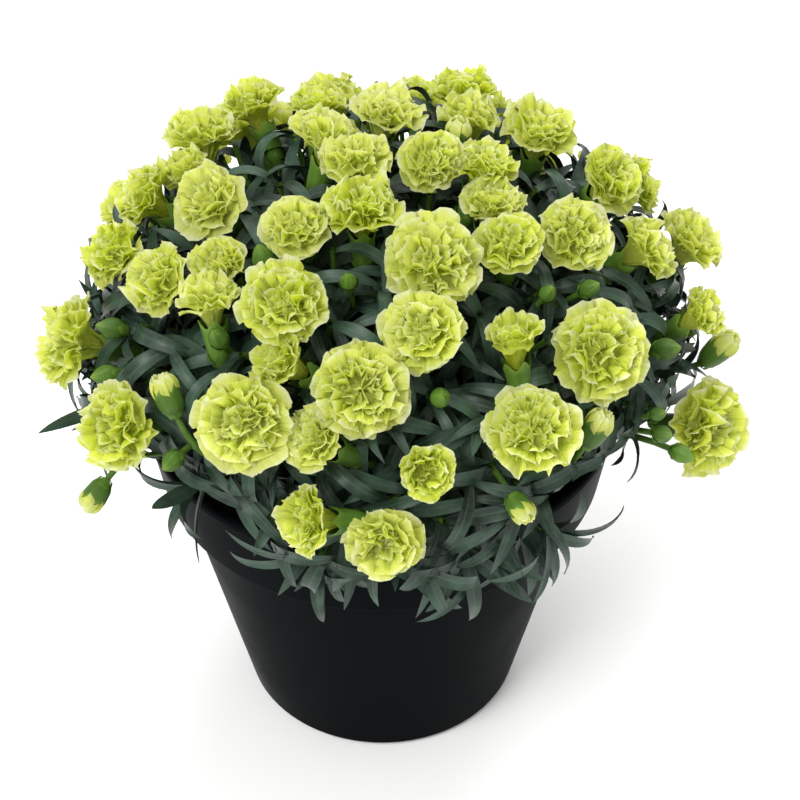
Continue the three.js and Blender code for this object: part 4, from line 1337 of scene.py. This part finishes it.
# From a stem's own seed to those of its further leaves.
FILLER_STEP = 2000
FRINGE_STEP = 3000
YOUNG_STEP = 4000


def further_leaves(crowd, flowering, budding, hanging, more_hanging, filling):
    """Leaves for the room that is left, which may lie closer together and curl further."""
    leaves = []
    close = {"fits": off_bare_lip, **FILLER_GAPS}
    for stem in more_hanging:
        leaves += grow_leaves(stem, *HANGING_LEAVES, crowd, bends=HANGING_BENDS, side_drop=SIDE_DROP, **close)
    for stem in filling:
        leaves += grow_leaves(stem, *FILLING_LEAVES, crowd, bends=FILLING_BENDS, **close)
    filler = {"seed_step": FILLER_STEP, "wide": FILLER_WIDTH, **close}
    for stem in flowering:
        leaves += grow_leaves(stem, *FLOWERING_LEAVES, crowd, **filler)
    for stem in budding:
        leaves += grow_leaves(stem, *BUDDING_LEAVES, crowd, **filler)
    for stem in hanging:
        leaves += grow_leaves(stem, *FRINGE_LEAVES, crowd, seed_step=FRINGE_STEP, slants=FRINGE_SLANTS,
                              fits=inside_dome, side_drop=SIDE_DROP, **FRINGE_GAPS)
        leaves += grow_leaves(stem, *RIM_LEAVES, crowd, **filler)
    for stem in filling + more_hanging:
        leaves += grow_leaves(stem, *YOUNG_LEAVES, crowd, seed_step=YOUNG_STEP, wide=YOUNG_WIDTH,
                              slants=YOUNG_SLANTS, bends=YOUNG_BENDS, **close)
    return leaves


OPENING_BUDS = (11, 13, 14, 15, 16, 17)
GREEN_SEED = 40


def grow_green():
    """One piece for each cutting: its leaves, stems, calyces and buds, and its woody foot."""
    crowd = Crowd(ALL_BLOOMS)
    placed = [bloom_stem(bloom) for bloom in ALL_BLOOMS]
    placed += [bud_stem(row, i) for i, row in enumerate(BUDS)]
    placed += [rim_shoot(i) for i in range(RIM_SHOOTS)]
    for stem, spots in placed:
        crowd.occupy([s for s in spots if s[0][2] > CLUMP_TOP], stem, stem.seed)
    stems = [stem for stem, _ in placed]
    first_bud, first_rim = len(ALL_BLOOMS), len(ALL_BLOOMS) + len(BUDS)
    flowering, budding, hanging = stems[:first_bud], stems[first_bud:first_rim], stems[first_rim:]
    leaves = solid_leaves(crowd, flowering, hanging)
    more_hanging = hanging_shoots()
    filling = filling_shoots(crowd)
    leaves += further_leaves(crowd, flowering, budding, hanging, more_hanging, filling)
    # A young shoot ends at its uppermost leaves, and one that found no room for leaves isn't there.
    young = [stem for stem in more_hanging + filling if stem.joints]
    for stem in young:
        stem.top = min(1, max(stem.joints) + 0.01)
    for cutting, name in enumerate(CUTTING_NAMES):
        gathered = Gathered()
        draws = np.random.default_rng(GREEN_SEED + cutting)
        for own, leaf in leaves:
            if own == cutting:
                leaf.grow(gathered, draws)
        for stem in stems + young:
            if stem.cutting == cutting:
                grow_stem(gathered, stem, draws)
        for bloom, stem in zip(ALL_BLOOMS, flowering):
            if stem.cutting == cutting:
                grow_calyx(gathered, bloom, stem.end, draws)
        for i, stem in enumerate(budding):
            if stem.cutting == cutting:
                grow_bud(gathered, stem, BUDS[i][2], draws, i in OPENING_BUDS)
        grow_crown(gathered, CROWNS[cutting], draws)
        dress(gathered, f"foliage_{name}", [LEAF, STALK, PETAL], "foliage", f"leafy_stems_{name}", crease=55)


# A crown's outline: millimetres above its shoulder, and radius against CROWN_RADIUS.
CROWN_OUTLINE = [(-10, 0.9), (-2, 1.0), (2, 0.9), (4.5, 0.62), (5.5, 0.3), (5.8, 0.05)]
CROWN_SHOULDER_Z = CROWN_TOP - 6.0
CROWN_COLUMNS = 18


def grow_crown(gathered, crown, draws):
    """The woody foot of a cutting, where its shoots leave the peat."""
    turns = even_turns(CROWN_COLUMNS)
    rows = []
    for height, radius in CROWN_OUTLINE:
        bumps = 0.12 * np.sin(3 * turns + draws.uniform(0, TURN)) + 0.05 * draws.uniform(-1, 1, CROWN_COLUMNS)
        rows.append(level_ring(CROWN_RADIUS * radius * (1 + bumps), turns, CROWN_SHOULDER_Z + height, crown))
    gathered.add(np.array(rows), along=np.linspace(0, 0.5, len(rows)), tone=0.1, wrap=True, finish=1)


# ---- the pot and the peat ----

INNER_SHOULDER_Z = SHOULDER_Z + WALL
FOOT_RECESS = 0.9
HOLED_RING = (30.0, BASE_RADIUS - 9)  # the part of the floor that the drain holes are in
FLOOR_MIDDLE = 0.2  # the radius at which the sheets of the floor and the peat end in the middle
POT_COLUMNS = 160
PEAT_COLUMNS = 120
PEAT_RINGS = 46
PEAT_LUMPS = 0.9
PEAT_SLACK = 0.2  # the room between the peat and the wall beyond GAP
PEAT_SEED = 5


def inner_radius_at(z):
    """The radius of the deep band's inside at a height."""
    share = (z - INNER_SHOULDER_Z) / (LIP_FOOT_Z - INNER_SHOULDER_Z)
    return mix(BAND_FOOT_RADIUS - WALL, LIP_INNER_RADIUS - 0.4, share)


def rounded(profile, steps=4):
    """A profile with each of its corners rounded: (radius, height, rounding)."""
    points = []
    for i, (r, z, soft) in enumerate(profile):
        here = np.array([r, z], float)
        if soft == 0:
            points.append(here)
            continue
        a = here + unit(np.array(profile[i - 1][:2], float) - here) * soft
        b = here + unit(np.array(profile[i + 1][:2], float) - here) * soft
        for k in range(steps + 1):
            s = k / steps
            points.append((1 - s) ** 2 * a + 2 * (1 - s) * s * here + s * s * b)
    return points


def add_turned(gathered, profile):
    """A surface turned about the pot's axis from radii and heights."""
    turns = even_turns(POT_COLUMNS)
    gathered.add(np.array([level_ring(radius, turns, z) for radius, z in profile]), wrap=True)


def floor_with_drain_hole(gathered, middle):
    """A quarter of the pot's floor, from its underside up through one drain hole to its top."""
    inner, outer = HOLED_RING
    quarter = POT_COLUMNS // DRAIN_HOLES
    sweep = np.linspace(-math.pi / DRAIN_HOLES, math.pi / DRAIN_HOLES, quarter + 1)
    step = np.linspace(inner, outer, 9)
    edge = [(outer, a) for a in sweep[:-1]] + [(r, sweep[-1]) for r in step[:0:-1]]
    edge += [(inner, a) for a in sweep[:0:-1]] + [(r, sweep[0]) for r in step[:-1]]
    rim = np.array([(r * math.cos(middle + a), r * math.sin(middle + a)) for r, a in edge])
    centre = DRAIN_RING * np.array([math.cos(middle), math.sin(middle)])
    ways = rim - centre
    hole = centre + DRAIN_RADIUS * ways / np.linalg.norm(ways, axis=1, keepdims=True)
    rows = [(rim, FOOT_RECESS), (hole, FOOT_RECESS), (hole, FLOOR_TOP), (rim, FLOOR_TOP)]
    grid = np.array([np.column_stack([plan, np.full(len(plan), z)]) for plan, z in rows])
    gathered.add(grid, wrap=True, size=(90, 50))


def make_pot():
    """The moulded pot: a plain tapered body, a deep band that leans out, a lip and four drain holes."""
    inner, outer = HOLED_RING
    body = rounded([
        (outer, FOOT_RECESS, 0),
        (BASE_RADIUS - 8.2, FOOT_RECESS, 0.3),
        (BASE_RADIUS - 7.6, 0.0, 0.4),
        (BASE_RADIUS - 2.5, 0.0, 1.2),
        (BASE_RADIUS, 2.5, 1.2),
        (BODY_TOP_RADIUS, SHOULDER_Z, 0.9),
        (BAND_FOOT_RADIUS, SHOULDER_Z, 1.4),
        (LIP_RADIUS - 1.6, LIP_FOOT_Z, 0.7),
        (LIP_RADIUS, LIP_FOOT_Z + 0.6, 0.8),
        (LIP_RADIUS, POT_HEIGHT, 1.7),
        (LIP_INNER_RADIUS, POT_HEIGHT, 1.5),
        (inner_radius_at(LIP_FOOT_Z), LIP_FOOT_Z, 0.8),
        (inner_radius_at(INNER_SHOULDER_Z), INNER_SHOULDER_Z, 0.8),
        (BODY_TOP_RADIUS - WALL, INNER_SHOULDER_Z, 1.0),
        (BASE_RADIUS - WALL, FLOOR_TOP, 1.0),
        (outer, FLOOR_TOP, 0),
    ])
    gathered = Gathered()
    add_turned(gathered, body)
    add_turned(gathered, [(FLOOR_MIDDLE, FOOT_RECESS), (inner, FOOT_RECESS)])
    add_turned(gathered, [(inner, FLOOR_TOP), (FLOOR_MIDDLE, FLOOR_TOP)])
    for i in range(DRAIN_HOLES):
        floor_with_drain_hole(gathered, TURN * i / DRAIN_HOLES - math.pi / 2)
    dress(gathered, "pot_moulded", [POT], "pot_plastic", "pot", crease=40)


def make_peat():
    """The peat: crumbly on top, and moulded by the pot's inside below."""

    def inside(radius):
        return radius - GAP - PEAT_SLACK

    draws = np.random.default_rng(PEAT_SEED)
    turns = even_turns(PEAT_COLUMNS)
    below = [
        (FLOOR_MIDDLE, FLOOR_TOP + GAP),
        (inside(BASE_RADIUS - WALL), FLOOR_TOP + GAP),
        (inside(BODY_TOP_RADIUS - WALL), INNER_SHOULDER_Z + GAP),
        (inside(inner_radius_at(INNER_SHOULDER_Z)), INNER_SHOULDER_Z + GAP),
        (inside(inner_radius_at(SOIL_EDGE_Z)), SOIL_EDGE_Z - 1.5),
    ]
    rows = [level_ring(radius, turns, z) for radius, z in below]
    edge = inside(inner_radius_at(SOIL_EDGE_Z)) - 0.6
    for radius in np.linspace(edge, 0.3, PEAT_RINGS):
        lumps = draws.uniform(-PEAT_LUMPS, PEAT_LUMPS, PEAT_COLUMNS) * min(1, radius / 20)
        rows.append(level_ring(radius, turns, SOIL_EDGE_Z + SOIL_MOUND * (1 - radius / edge) + lumps))
    gathered = Gathered()
    gathered.add(np.array(rows), wrap=True, size=(100, 100))
    dress(gathered, "peat", [PEAT], "peat", "growing_medium", crease=60)


make_pot()
make_peat()
grow_green()
grow_blooms()

# ---- the studio ----

LIT_POINT = (0, 0, 0.18)
FLOOR_HALF = 6


def soft_box(name, place, size, power):
    """A round lamp that faces the middle of the plant, in metres and watts."""
    light = bpy.data.lights.new(name, "AREA")
    light.shape = "DISK"
    light.size = size
    light.energy = power
    lamp = bpy.data.objects.new(name, light)
    lamp.location = place
    aim = np.array(LIT_POINT, float) - np.array(place, float)
    lamp.rotation_euler = (math.atan2(math.hypot(aim[0], aim[1]), -aim[2]), 0.0,
                           math.atan2(aim[1], aim[0]) - math.pi / 2)
    bpy.context.scene.collection.objects.link(lamp)


def light_studio():
    """Three lamps, white all round, and a floor that the plant's shadow falls on."""
    soft_box("key", (-1.7, -2.3, 3.2), 2.0, 126)
    soft_box("top", (0.3, 0.5, 3.4), 2.4, 48)
    soft_box("back", (0.8, 2.6, 2.2), 2.0, 24)
    world = bpy.data.worlds.new("studio")
    world.use_nodes = True
    world.node_tree.nodes.clear()
    light = add_node(world.node_tree, "ShaderNodeBackground", {"Color": colour("#FFFFFF"), "Strength": 0.8})
    add_node(world.node_tree, "ShaderNodeOutputWorld", {0: light})
    bpy.context.scene.world = world
    bpy.context.scene.view_settings.view_transform = "Standard"
    far = FLOOR_HALF
    made = bpy.data.meshes.new("floor")
    made.from_pydata([(-far, -far, 0), (far, -far, 0), (far, far, 0), (-far, far, 0)], [], [(0, 1, 2, 3)])
    made.materials.append(FLOOR)
    floor = bpy.data.objects.new("floor", made)
    bpy.context.scene.collection.objects.link(floor)


light_studio()
